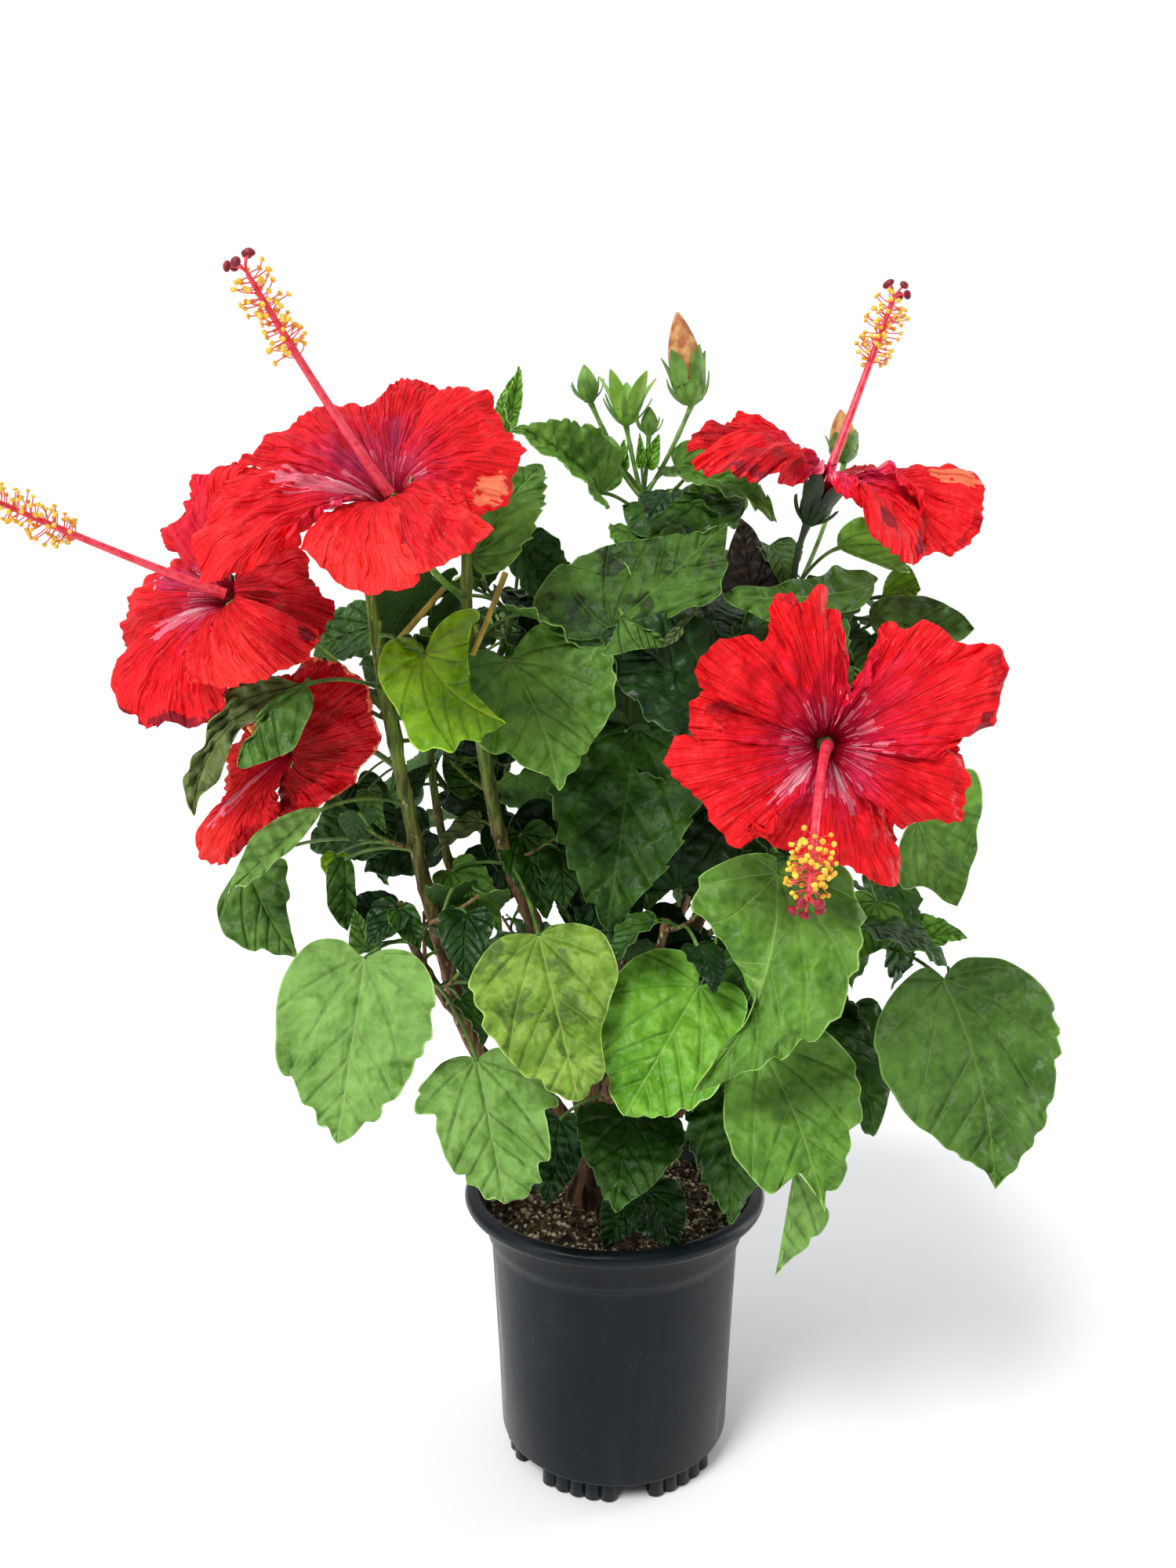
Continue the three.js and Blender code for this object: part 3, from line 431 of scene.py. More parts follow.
# %% Finishes
def begin(name):
    """A new material, with wires for places on the plant and for places on the surface's map."""
    material = bpy.data.materials.new(name)
    material.use_nodes = True
    material.node_tree.nodes.clear()
    coordinates = material.node_tree.nodes.new("ShaderNodeTexCoord")
    tree = material.node_tree
    return material, Wire(tree, coordinates.outputs["Object"]), Wire(tree, coordinates.outputs["UV"])


def finish(material, place, colour, roughness, height=None, depth=0.001, **constants):
    """Ends a material in a Principled shader. Height times depth, in metres, becomes bump, and
    the constants are plain values on the shader's own sockets."""
    inputs = {"Base Color": colour if isinstance(colour, Wire) else (*colour, 1), "Roughness": roughness}
    inputs.update({key.replace("_", " "): value for key, value in constants.items()})
    if height is not None:
        bump_inputs = {"Strength": 1.0, "Distance": depth, "Height": height}
        inputs["Normal"] = place.node("ShaderNodeBump", {}, bump_inputs)
    shader = place.node("ShaderNodeBsdfPrincipled", {}, inputs)
    output = material.node_tree.nodes.new("ShaderNodeOutputMaterial")
    material.node_tree.links.new(shader.socket, output.inputs["Surface"])
    return material


def plain_finish(name, dark, light, roughness, scale=300.0, depth=0.0004, spread=0.14, draw=1,
                 **constants):
    """Two tones in clouds, which are the relief too. One tone turns into the other over `spread`
    to both sides of the clouds' middle, and a `draw` under 1 draws the clouds out upwards."""
    material, place, _ = begin(name)
    if draw < 1:
        place = place.stretched(1, 1, draw)
    clouds = place.noise(scale, 3.0)
    tone = clouds.between(0.5 - spread, 0.5 + spread).blend(dark, light)
    return finish(material, place, tone, roughness, clouds, depth, **constants)


print("most finishes here are two tones in clouds")

# %% [markdown]
# The pot is blown black plastic: a rolled lip, a collar, one step and a wall that tapers to six
# ribbed feet. A profile turned round the axis gives all but the feet. The collar's and lip's
# sizes come from the solid, and 144 segments keep the gloss free of facets.

# %% Pot finish
material, place, _ = begin("pot_plastic")
clouds = place.stretched(1, 1, 0.35).noise(26.0, 4.0)
drips = place.stretched(1, 1, 0.16).noise(60.0, 3.0).between(0.56, 0.66)
dust = place.cells(420.0, "F1")
specks = (1 - dust.between(0.05, 0.16)) * place.noise(70.0, 2.0).between(0.52, 0.62)
tone = clouds.between(0.35, 0.68).blend((0.0022, 0.0046, 0.0072), (0.0062, 0.0092, 0.0125))
tone = (drips * 0.6).blend(tone, (0.0012, 0.0028, 0.007))
tone = (specks * 0.5).blend(tone, (0.2, 0.19, 0.17))
gloss = 0.26 + clouds.between(0.3, 0.7) * 0.12 - drips * 0.14 + specks * 0.3
ripple = clouds * 0.8 + place.noise(180.0, 2.0) * 0.12
POT_PLASTIC = finish(material, place, tone, gloss, ripple, 0.0009, Specular_IOR_Level=0.2)
print("pot finish made")

# %% Pot wall
POT_HEIGHT = 153
RIM_RADIUS = 85
RIM_ROLL = 4.5
COLLAR_TOP_RADIUS = 75.5
COLLAR_RADIUS = 72.5
COLLAR_FOOT = 127
STEP_FOOT = 125
BODY_TOP_RADIUS = 70.2
BODY_FOOT_RADIUS = 64.7
WALL = 2
FLOOR_BOTTOM = 9
FLOOR_TOP = 14
POT_SEGMENTS = 144


def turned(profile, gathered, kind=0, segments=POT_SEGMENTS):
    """A profile of [radius, height] turned round the upright axis and closed: its last point
    joins its first, so the surface is a ring of rings."""
    outline = np.array(profile, float)
    angle = 2 * pi * np.arange(segments) / segments
    points = np.stack([
        outline[:, :1] * np.cos(angle), outline[:, :1] * np.sin(angle), outline[:, 1:] + 0 * angle
    ], -1)
    rows = len(outline)
    faces = grid_faces(rows + 1, segments, ring=True) % (rows * segments)
    surface_map = np.stack(np.broadcast_arrays(angle / (2 * pi), np.linspace(0, 1, rows)[:, None]), -1)
    gathered.add(points, [faces], surface_map, [kind])


pot = Gathered()
roll = np.radians(np.linspace(-95, 175, 22))
lip_middle = (RIM_RADIUS - RIM_ROLL, POT_HEIGHT - RIM_ROLL)
lip = [[lip_middle[0] + RIM_ROLL * cos(a), lip_middle[1] + RIM_ROLL * sin(a)] for a in roll]
lip_foot = POT_HEIGHT - 2 * RIM_ROLL
turned([
    [2, FLOOR_BOTTOM], [57, FLOOR_BOTTOM], [58, 10.5], [58, 12], [BODY_FOOT_RADIUS - 1, 12],
    [BODY_FOOT_RADIUS - 0.2, 12.4], [BODY_FOOT_RADIUS + 0.05, 13.4], [66.5, 55], [68.4, 92],
    [BODY_TOP_RADIUS - 0.25, STEP_FOOT - 4], [BODY_TOP_RADIUS, STEP_FOOT - 0.6],
    [BODY_TOP_RADIUS + 0.5, STEP_FOOT], [COLLAR_RADIUS - 0.5, COLLAR_FOOT - 0.4],
    [COLLAR_RADIUS, COLLAR_FOOT + 0.6], [COLLAR_RADIUS + 0.5, COLLAR_FOOT + 4],
    [COLLAR_TOP_RADIUS - 0.6, lip_foot - 3], [COLLAR_TOP_RADIUS + 0.6, lip_foot - 0.6],
    [COLLAR_TOP_RADIUS + 2, lip_foot], *lip,
    [COLLAR_TOP_RADIUS + 0.2, lip_foot + 2], [COLLAR_TOP_RADIUS - WALL, lip_foot],
    [COLLAR_RADIUS - WALL, COLLAR_FOOT], [BODY_TOP_RADIUS - WALL, STEP_FOOT],
    [BODY_FOOT_RADIUS - WALL, FLOOR_TOP], [2, FLOOR_TOP],
], pot)
print("points of the wall, lip and floor:", pot.count)

# %% Pot feet
FEET = 6
FOOT_SPAN = 42
FOOT_RIBS = 5
FOOT_RADII = (54, 59.5)
FOOT_RIB_DEPTH = 2.2
FOOT_TOP = 12.5
FIRST_GAP = 9
HUB_RADIUS = 14
SPOKE_WIDTH = 4


def foot(bearing):
    """One foot: a stretch of ring under the floor whose outside swells as |sin| at each rib and
    whose lower rim is rounded off."""
    share = np.linspace(0, 1, FOOT_RIBS * 10 + 1)
    ribs = np.abs(np.sin(pi * share * FOOT_RIBS)) ** 0.7
    angle = np.radians(bearing - 90 + FOOT_SPAN * (share - 0.5))
    inner, outer = FOOT_RADII
    heights = np.array([FOOT_TOP, 1.2, 0.0, 0.0, FOOT_TOP])
    edge = outer + FOOT_RIB_DEPTH * ribs
    radius = np.stack([edge, edge, edge - 1.2, 0 * edge + inner, 0 * edge + inner])
    points = np.stack([radius * np.cos(angle), radius * np.sin(angle), 0 * radius + heights[:, None]], -1)
    rows, columns = radius.shape
    faces = grid_faces(rows + 1, columns) % (rows * columns)
    ends = np.arange(rows) * columns
    pot.add(
        points, [faces[:, ::-1], ends[None, :], (ends + columns - 1)[None, ::-1]],
        np.zeros((rows * columns, 2)), [0, 0, 0],
    )


def block(outline, low, high):
    """An upright block: a level outline, listed against the clock, from one height to another."""
    flat = np.array(outline, float)
    rings(np.stack([np.column_stack([flat, np.full(len(flat), z)]) for z in (low, high)])[None], pot)


hub_turn = 2 * pi * np.arange(36) / 36
block(HUB_RADIUS * level_way(hub_turn)[:, :2], 0, FLOOR_BOTTOM + 1)
for k in range(FEET):
    bearing = FIRST_GAP + 360 / FEET * (k + 0.5)
    foot(bearing)
    out = level_way(radians(bearing - 90))[:2]
    beside = np.array([-out[1], out[0]]) * SPOKE_WIDTH / 2
    near, far = out * (HUB_RADIUS - 1), out * (FOOT_RADII[0] + 1)
    block([near - beside, far - beside, far + beside, near + beside], 0, FLOOR_BOTTOM + 1)
pot.piece("nursery_pot", [POT_PLASTIC], "pot", "pot")

# %% [markdown]
# The mix in the pot is dark bark with cream perlite. One turned surface with low relief fills
# the pot, and grains of both kinds lie on it, dealt out by a seeded rule.

# %% Potting mix finishes
material, place, _ = begin("peat")
lumps = place.noise(160.0, 5.0)
tone = lumps.between(0.38, 0.64).blend((0.012, 0.008, 0.004), (0.11, 0.075, 0.042))
PEAT = finish(material, place, tone, 0.95, lumps, 0.005, Specular_IOR_Level=0.2)
CRUMB_FINISHES = [
    plain_finish(name, dark, light, 0.9, 420.0, 0.0016, Specular_IOR_Level=0.2) for name, dark, light in (
        ("bark_chip_dark", (0.015, 0.009, 0.005), (0.08, 0.048, 0.024)),
        ("bark_chip_brown", (0.08, 0.05, 0.024), (0.26, 0.175, 0.09)),
        ("perlite", (0.36, 0.31, 0.19), (0.78, 0.7, 0.5)))]
print("kinds of crumbs:", len(CRUMB_FINISHES))

# %% Potting mix
SOIL_LEVEL = 139
SOIL_RADIUS = 71.5
FILL_ROWS = 22
FILL_SIDES = 96
FILL_WALL_RADII = (62, 67.6)
CRUMBS = [(700, (1.2, 3.6), 0.5), (1100, (1.0, 3.4), 0.5), (850, (0.8, 2.5), 0.9)]
CRUMB_SEED = 2
chance = np.random.default_rng(CRUMB_SEED)


def ground(x, y):
    """Height of the mix: level, with low waves in three directions."""
    return SOIL_LEVEL + 1.3 * np.sin(x / 9 + 1) * np.sin(y / 11) + 0.8 * np.sin((x + y) / 5 + 2) - 0.6


mix_fill = Gathered()
angle = 2 * pi * np.arange(FILL_SIDES) / FILL_SIDES
radius = np.concatenate([FILL_WALL_RADII, np.linspace(SOIL_RADIUS + 0.4, 0.6, FILL_ROWS)])[:, None]
x, y = radius * np.cos(angle), radius * np.sin(angle)
height = ground(x, y)
height[0], height[1] = FLOOR_TOP + 0.5, STEP_FOOT
rings(np.stack([x, y, height], -1)[None], mix_fill)
mix_fill.piece("potting_mix", [PEAT], "soil", "soil")

crumbs = Gathered()
for kind, (count, sizes, flatness) in enumerate(CRUMBS):
    spread = SOIL_RADIUS * np.sqrt(chance.uniform(0.01, 0.985, count))
    turn = chance.uniform(0, 2 * pi, count)
    x, y = spread * np.cos(turn), spread * np.sin(turn)
    size = chance.uniform(*sizes, (count, 2)) * chance.uniform(0.5, 1, (count, 1))
    size[:, 1] *= flatness
    centres = np.stack([x, y, ground(x, y) + 0.3 * size.min(1)], -1)
    tilt = chance.normal(0, 1, (count, 3)) * (1, 1, 0.5)
    beads(centres, size, unit(tilt), crumbs, kind, levels=3, sides=5)
crumbs.piece("bark_and_perlite", CRUMB_FINISHES, "soil")

# %% [markdown]
# A short woody trunk forks low into stems that are brown and ridged at the foot and green at
# the top. Each stem is one tapering tube on the same line as its solids, with shallow
# ridges and a swelling at each old leaf joint.

# %% Bark finishes
material, place, _ = begin("stem_bark")
height_up = place.axes()[2]
streaks = place.stretched(1, 1, 0.18).noise(330.0, 4.0)
patches = place.noise(45.0, 3.0)
brown = streaks.between(0.36, 0.66).blend((0.05, 0.021, 0.009), (0.25, 0.13, 0.058))
green = streaks.between(0.3, 0.7).blend((0.045, 0.085, 0.006), (0.19, 0.28, 0.03))
ripeness = (height_up + patches * 0.16).between(0.39, 0.485)
tone = ripeness.blend(brown, green)
pores = (1 - place.stretched(1, 1, 0.45).cells(260.0, "F1").between(0.14, 0.3))
pores = pores * place.noise(130.0, 1.0).between(0.42, 0.52)
tone = (pores * 0.8).blend(tone, (0.5, 0.47, 0.22))
STEM_BARK = finish(material, place, tone, 0.72 - ripeness * 0.22, streaks + pores * 0.6, 0.0014,
                   Specular_IOR_Level=0.3)

material, place, _ = begin("trunk_bark")
streaks = place.stretched(1, 1, 0.22).noise(200.0, 6.0)
tone = streaks.between(0.36, 0.64).blend((0.03, 0.015, 0.009), (0.18, 0.1, 0.058))
TRUNK_BARK = finish(material, place, tone, 0.85, streaks, 0.005, Specular_IOR_Level=0.2)
print("two barks")

# %% Stem lines
GAP = 0.3
TRUNK_FOOT_DEPTH = 4
TRUNK = {
    "radii": [15, 10.5, 9, 8.5],
    "points": [[-13, 2, SOIL_LEVEL - TRUNK_FOOT_DEPTH], [-12, 3, 155], [-10, 4, 171], [-7, 5, 187]],
}
STEMS = {
    "left": {"enters": 0.57, "radii": [5, 2.8], "foliage": "left_foliage", "points": [
        [-15, 2, 168], [-38, -8, 204], [-75, -20, 236], [-93, -35, 302],
        [-107, -45, 374], [-117, -52, 438], [-123, -55, 492]]},
    "middle": {"enters": 0.47, "radii": [5, 2.6], "foliage": "upper_left_foliage", "points": [
        [-11, 1, 184], [-20, -5, 236], [-40, -25, 299], [-58, -35, 348],
        [-67, -42, 394], [-74, -52, 455], [-74, -60, 503]]},
    "centre": {"enters": 0.4, "radii": [5, 2.4], "foliage": "top_foliage", "points": [
        [-6, 8, 186], [-3, 12, 240], [0, 6, 295], [1, -5, 340],
        [6, -15, 420], [11, -25, 500], [13, -30, 532]]},
    "right": {"enters": 0.5, "radii": [5, 2.6], "foliage": "right_foliage", "points": [
        [-1, 3, 176], [16, -2, 222], [41, -5, 294], [51, -10, 322],
        [72, -20, 383], [85, -35, 445], [89, -50, 486]]},
    "back_left": {"enters": 0.45, "radii": [4.4, 2.2], "foliage": "back_left_foliage", "points": [
        [-14, 10, 170], [-32, 38, 235], [-58, 68, 315], [-78, 90, 400], [-86, 100, 470]]},
    "back_right": {"enters": 0.45, "radii": [4.4, 2.2], "foliage": "back_right_foliage", "points": [
        [-3, 12, 168], [20, 42, 235], [48, 72, 315], [66, 92, 400], [72, 102, 480]]},
    "low_left": {"enters": 0.35, "radii": [3, 1.8], "foliage": "low_left_foliage", "points": [
        [-80, -24, 252], [-92, -42, 275], [-103, -60, 305], [-108, -70, 330]]},
    "low_front": {"enters": 0.28, "radii": [3.6, 2], "foliage": "low_front_foliage", "points": [
        [-10, -4, 166], [-8, -28, 205], [2, -50, 245], [16, -66, 290], [24, -74, 322]]},
    "low_right": {"enters": 0.35, "radii": [4, 2.2], "foliage": "low_right_foliage", "points": [
        [-3, -3, 164], [34, -26, 205], [76, -45, 262], [102, -60, 315], [112, -66, 342]]},
    "low_back": {"enters": 0.45, "radii": [4, 2.2], "foliage": "low_back_foliage", "points": [
        [-9, 12, 162], [-4, 48, 205], [4, 78, 255], [12, 98, 320]]},
    "sprout": {"enters": 0, "radii": [2, 1.2], "foliage": "soil_sprout", "points": [
        [10, -38, SOIL_LEVEL + GAP], [10, -38, 155], [14, -43, 170]]},
}
print("stems to grow:", len(STEMS))

# %% Stems
STEM_SIDES = 28
JOINT_SPACING = 26
JOINT_SWELL = 0.55
JOINT_WIDTH = 2.6
JOINT_SHIFT = 7
JOINTLESS_RADIUS = 2
RIDGE = 0.22
RIDGE_TURN = 17
RIDGE_RADIUS = 5


def limb(line, radii, gathered, ridge=RIDGE, seed=0, kind=0):
    """A limb along a line. Its radius is spread evenly over its length, swells as a narrow bell
    at each joint, and carries ridges that are three sines round it, slowly turning."""
    steps = max(12, int(line.length / 2))
    share = np.linspace(0, 1, steps)
    run = share * line.length
    radius = np.interp(share * (len(radii) - 1), np.arange(len(radii)), radii)
    from_joint = (run + JOINT_SHIFT * seed) % JOINT_SPACING - JOINT_SPACING / 2
    swell = JOINT_SWELL * np.exp(-((from_joint / JOINT_WIDTH) ** 2))
    radius = radius + swell * (radius > JOINTLESS_RADIUS)
    angle = 2 * pi * np.arange(STEM_SIDES) / STEM_SIDES
    phase = run[:, None] / RIDGE_TURN + seed
    relief = np.sin(3 * angle + phase) + 0.7 * np.sin(7 * angle - 1.7 * phase) + 0.5 * np.sin(
        12 * angle + 0.9 * phase + np.sin(run[:, None] / 5))
    relief = relief * ridge * radius[:, None] / RIDGE_RADIUS
    tubes(line.at(share)[None], radius[None], STEM_SIDES, gathered, kind, relief[None])


trunk = Gathered()
trunk_line = line_through(TRUNK["points"])
limb(trunk_line, TRUNK["radii"], trunk, ridge=0.5)
trunk.piece("trunk_with_bark", [TRUNK_BARK], "bark", "trunk")
lines, wood_lines = {}, {}
for number, (name, stem) in enumerate(STEMS.items()):
    line = line_through(stem["points"])
    lines[name] = line
    enters = stem["enters"] + (GAP / line.length if stem["enters"] else 0)
    wood_lines[stem["foliage"]] = [line.share(enters, 1)]
    if stem["enters"]:
        bark = Gathered()
        limb(line, stem["radii"], bark, seed=number)
        bark.piece(f"{name}_stem", [STEM_BARK], "bark", f"{name}_bough")
print("longest stem in mm:", round(max(line.length for line in lines.values())))

# %% [markdown]
# A hibiscus leaf is a broad heart with scalloped teeth. Its veins lie in grooves, and the
# blade swells between them like a quilt. The veins are lines that both the mesh and the finish
# work out from the same few angles, so the grooves and their colour fall together.

# %% Leaf veins
RAYS = (0.6, 1.15, 1.85)
RAY_CURVE = 0.32
SLANT = 0.74
SLANT_CURVE = 0.7
VEIN_SPACING = 0.185
FIRST_SLANT = 0.27
MAP_SCALE = 1.5
MAP_MIDDLE = (0.5, 0.15)


def vein_gap(x, y):
    """Distance to the nearest vein, as a share of the leaf's length, from the place across and
    along it. Veins are the midrib, three rays from the base on each side that bend towards
    the tip, and slanting veins that leave the midrib at an even spacing."""
    x = np.abs(x)
    radius, angle = np.hypot(x, y), np.arctan2(x, y)
    gap = x
    for ray in RAYS:
        gap = np.minimum(gap, radius * np.abs(np.sin(angle - ray * (1 - RAY_CURVE * radius))))
    start = y - x / np.tan(SLANT) - SLANT_CURVE * x**2
    turns = start / VEIN_SPACING
    slanting = np.abs(turns - np.round(turns)) * VEIN_SPACING * sin(SLANT)
    return np.minimum(gap, np.where(start > FIRST_SLANT, slanting, 1))


def vein_wire(surface):
    """The same distance as shader nodes, from a place on the leaf's map."""
    across, along, _ = surface.axes()
    x = abs(across - MAP_MIDDLE[0]) * MAP_SCALE
    y = (along - MAP_MIDDLE[1]) * MAP_SCALE
    radius = (x * x + y * y).maths("SQRT", x * x + y * y)
    angle = x.maths("ARCTAN2", x, y)
    gap = x
    for ray in RAYS:
        turn = angle - ray * (1 - radius * RAY_CURVE)
        gap = gap.least(radius * abs(turn.maths("SINE", turn)))
    start = y - x / float(np.tan(SLANT)) - x * x * SLANT_CURVE
    turns = start / VEIN_SPACING
    slanting = abs(turns - turns.maths("ROUND", turns)) * (VEIN_SPACING * sin(SLANT))
    return gap.least(slanting + start.maths("LESS_THAN", start, FIRST_SLANT)), x


print("gap halfway between two veins:", round(float(vein_gap(np.array(0.3), np.array(0.75))), 4))

# %% Leaf finishes
def leaf_finish(name, deep, light, vein, roughness=0.42, quilt=0.0034, stain=0.0):
    """A leaf: clouds of two greens, paler veins in grooves, blisters between them, a pale thin
    margin, and on an old leaf dark stains in patches."""
    material, place, surface = begin(name)
    gap, middle = vein_wire(surface)
    wander = (place.noise(230.0, 2.0) - 0.5) * 0.004
    line = 1 - (gap + wander).between(0.0005, 0.0048)
    rib = 1 - middle.between(0.002, 0.0085)
    blisters = place.noise(120.0, 1.0)
    fine = place.noise(320.0, 3.0)
    clouds = place.noise(36.0, 4.0)
    shade = clouds.between(0.34, 0.66) * 0.5 + blisters.between(0.34, 0.66) * 0.32
    shade = shade + fine.between(0.36, 0.64) * 0.18
    tone = shade.blend(deep, light)
    if stain:
        patch = place.noise(70.0, 4.0, 0.6).between(0.53, 0.62) * stain
        tone = patch.blend(tone, tuple(c * 0.3 for c in deep))
    tone = (line * 0.6).blend(tone, vein)
    tone = (rib * 0.6).blend(tone, vein)
    rim = place.attribute("rim").between(0.97, 0.998)
    tone = (rim * 0.75).blend(tone, tuple(c * 1.3 + 0.04 for c in vein))
    height = blisters * 1.1 + fine * 0.2 + clouds * 0.8 - line * 0.1 + gap.between(0.0, 0.03) * 0.25
    sheen = roughness + fine * 0.12 + clouds.between(0.35, 0.65) * 0.1
    return finish(material, place, tone, sheen, height, quilt, Specular_IOR_Level=0.3)


def tone_pair(name, deep, light, vein, roughness=0.4, stain=0.0):
    """The upper side of a leaf tone and its duller, paler underside."""
    under = [tuple(c * 0.8 + p for c, p in zip(colour, (0.03, 0.055, 0.014))) for colour in (deep, light)]
    rib = tuple(c * 0.9 + 0.05 for c in vein)
    return [leaf_finish(name, deep, light, vein, roughness, stain=stain),
            leaf_finish(f"{name}_underside", *under, rib, 0.6, 0.0014)]


LEAF_TONES = {
    "mid": ((0.045, 0.14, 0.008), (0.15, 0.33, 0.035), (0.27, 0.46, 0.09), 0.38),
    "dark": ((0.01, 0.042, 0.002), (0.045, 0.135, 0.01), (0.08, 0.19, 0.022), 0.33),
    "bright": ((0.075, 0.25, 0.006), (0.22, 0.5, 0.045), (0.36, 0.64, 0.13), 0.34),
    "pale": ((0.1, 0.235, 0.03), (0.22, 0.41, 0.085), (0.33, 0.5, 0.16), 0.46),
    "lime": ((0.09, 0.25, 0.0), (0.25, 0.5, 0.003), (0.34, 0.6, 0.02), 0.34),
    "yellowed": ((0.09, 0.2, 0.008), (0.28, 0.45, 0.06), (0.38, 0.52, 0.11), 0.44, 0.6),
    # The deep tone is painted shade: a near-black green for leaves that sit in shade inside the crown.
    "deep": ((0.003, 0.021, 0.002), (0.015, 0.062, 0.006), (0.035, 0.1, 0.014), 0.3),
    "bronze": ((0.045, 0.06, 0.012), (0.15, 0.21, 0.05), (0.2, 0.27, 0.07), 0.42, 0.5),
    "moss": ((0.028, 0.09, 0.006), (0.1, 0.23, 0.028), (0.17, 0.31, 0.055), 0.36),
    "olive": ((0.04, 0.065, 0.014), (0.13, 0.18, 0.05), (0.17, 0.23, 0.07), 0.46),
    "umber": ((0.01, 0.008, 0.003), (0.04, 0.03, 0.014), (0.05, 0.04, 0.02), 0.4),
    "blotched": ((0.012, 0.038, 0.002), (0.075, 0.19, 0.016), (0.12, 0.26, 0.03), 0.48, 0.75),
}
TONES = list(LEAF_TONES)
LEAF_FINISHES = [side for name, tone in LEAF_TONES.items() for side in tone_pair(f"leaf_{name}", *tone)]
LEAF_STALK = plain_finish("leaf_stalk", (0.05, 0.12, 0.015), (0.14, 0.26, 0.05), 0.5, 90.0, 0.0006,
                          0.16, Specular_IOR_Level=0.3)
CUT_STALK = plain_finish("cut_stalk", (0.26, 0.2, 0.03), (0.55, 0.44, 0.08), 0.5, 150.0, 0.0006,
                         0.16, 0.3, Specular_IOR_Level=0.3)
print("leaf finishes:", len(LEAF_FINISHES))

# %% [markdown]
# The grid of a leaf runs from the stalk's end out round the two lobes of the heart and on to
# the tip. Every row joins the same point of the left and right margin through the midrib.

# %% Leaf margins
FACE_LIFT = 35
LEAF_MARGINS = {
    "ovate": [[0.02, -0.004, 0], [0.14, -0.075, 0.008], [0.28, -0.09, 0.02], [0.4, -0.035, 0.045],
              [0.475, 0.07, 0.09], [0.505, 0.2, 0.17], [0.49, 0.36, 0.32], [0.43, 0.52, 0.49],
              [0.335, 0.68, 0.66], [0.22, 0.81, 0.8], [0.1, 0.925, 0.92], [0.006, 1.0, 1.0]],
    "tapered": [[0.02, -0.004, 0], [0.14, -0.07, 0.008], [0.3, -0.08, 0.02], [0.43, -0.01, 0.05],
                [0.5, 0.1, 0.1], [0.5, 0.24, 0.2], [0.435, 0.39, 0.35], [0.34, 0.54, 0.51],
                [0.25, 0.68, 0.66], [0.165, 0.81, 0.8], [0.075, 0.925, 0.92], [0.005, 1.0, 1.0]],
}


def facing_direction(bearing):
    """The way a leaf looks: level at a compass bearing from the front, lifted by 35 degrees."""
    flat, turn = cos(radians(FACE_LIFT)), np.radians(bearing)
    return np.stack([np.sin(turn) * flat, -np.cos(turn) * flat, 0 * turn + sin(radians(FACE_LIFT))], -1)


def leaf_margins(leaf, base, length, midrib, face, across, row):
    """Both margins on the leaf's plane at each row: how far across and along they are, and the
    place on the midrib that they belong to. Readings reach the plane along their sight lines."""
    if "sides" not in leaf:
        half, reach, middle = line_through(LEAF_MARGINS[leaf.get("kind", "ovate")]).at(row).T
        half = half * leaf["width"] / length
        return np.stack([-half, half], -1), np.stack([reach, reach], -1), middle
    both = []
    for side in leaf["sides"]:
        ray = seen_at(side, [0]) - EYE
        flat = EYE + ray * ((base - EYE) @ face / (ray @ face))[:, None] - base
        both.append(line_through(np.stack([flat @ across, flat @ midrib], -1) / length).at(row))
    both = np.stack(sorted(both, key=lambda side: side[:, 0].mean()), 1)
    far = np.maximum.accumulate(np.maximum(both[..., 1].mean(1), 0))
    return both[..., 0], both[..., 1], 0.1 * row + 0.9 * far / far[-1]


print("readings of an ovate margin:", len(LEAF_MARGINS["ovate"]))

# %% Leaf shapes
SHOWN_GRID = (69, 19)
SEEDED_GRID = (45, 11)
FINE_GRID = (27, 9)
LEAF_SKIN = 0.45
TEETH = (10, 13)
TOOTH_DEPTH = 0.05
TOOTHED_LENGTH = 60
CREASE = 0.02
GROOVE = 0.035
QUILT = 0.007
FRILL = 0.034
SWELLS = 8
SWELL_SPANS = (0.09, 0.2)
DROOP = (0.06, 0.08)


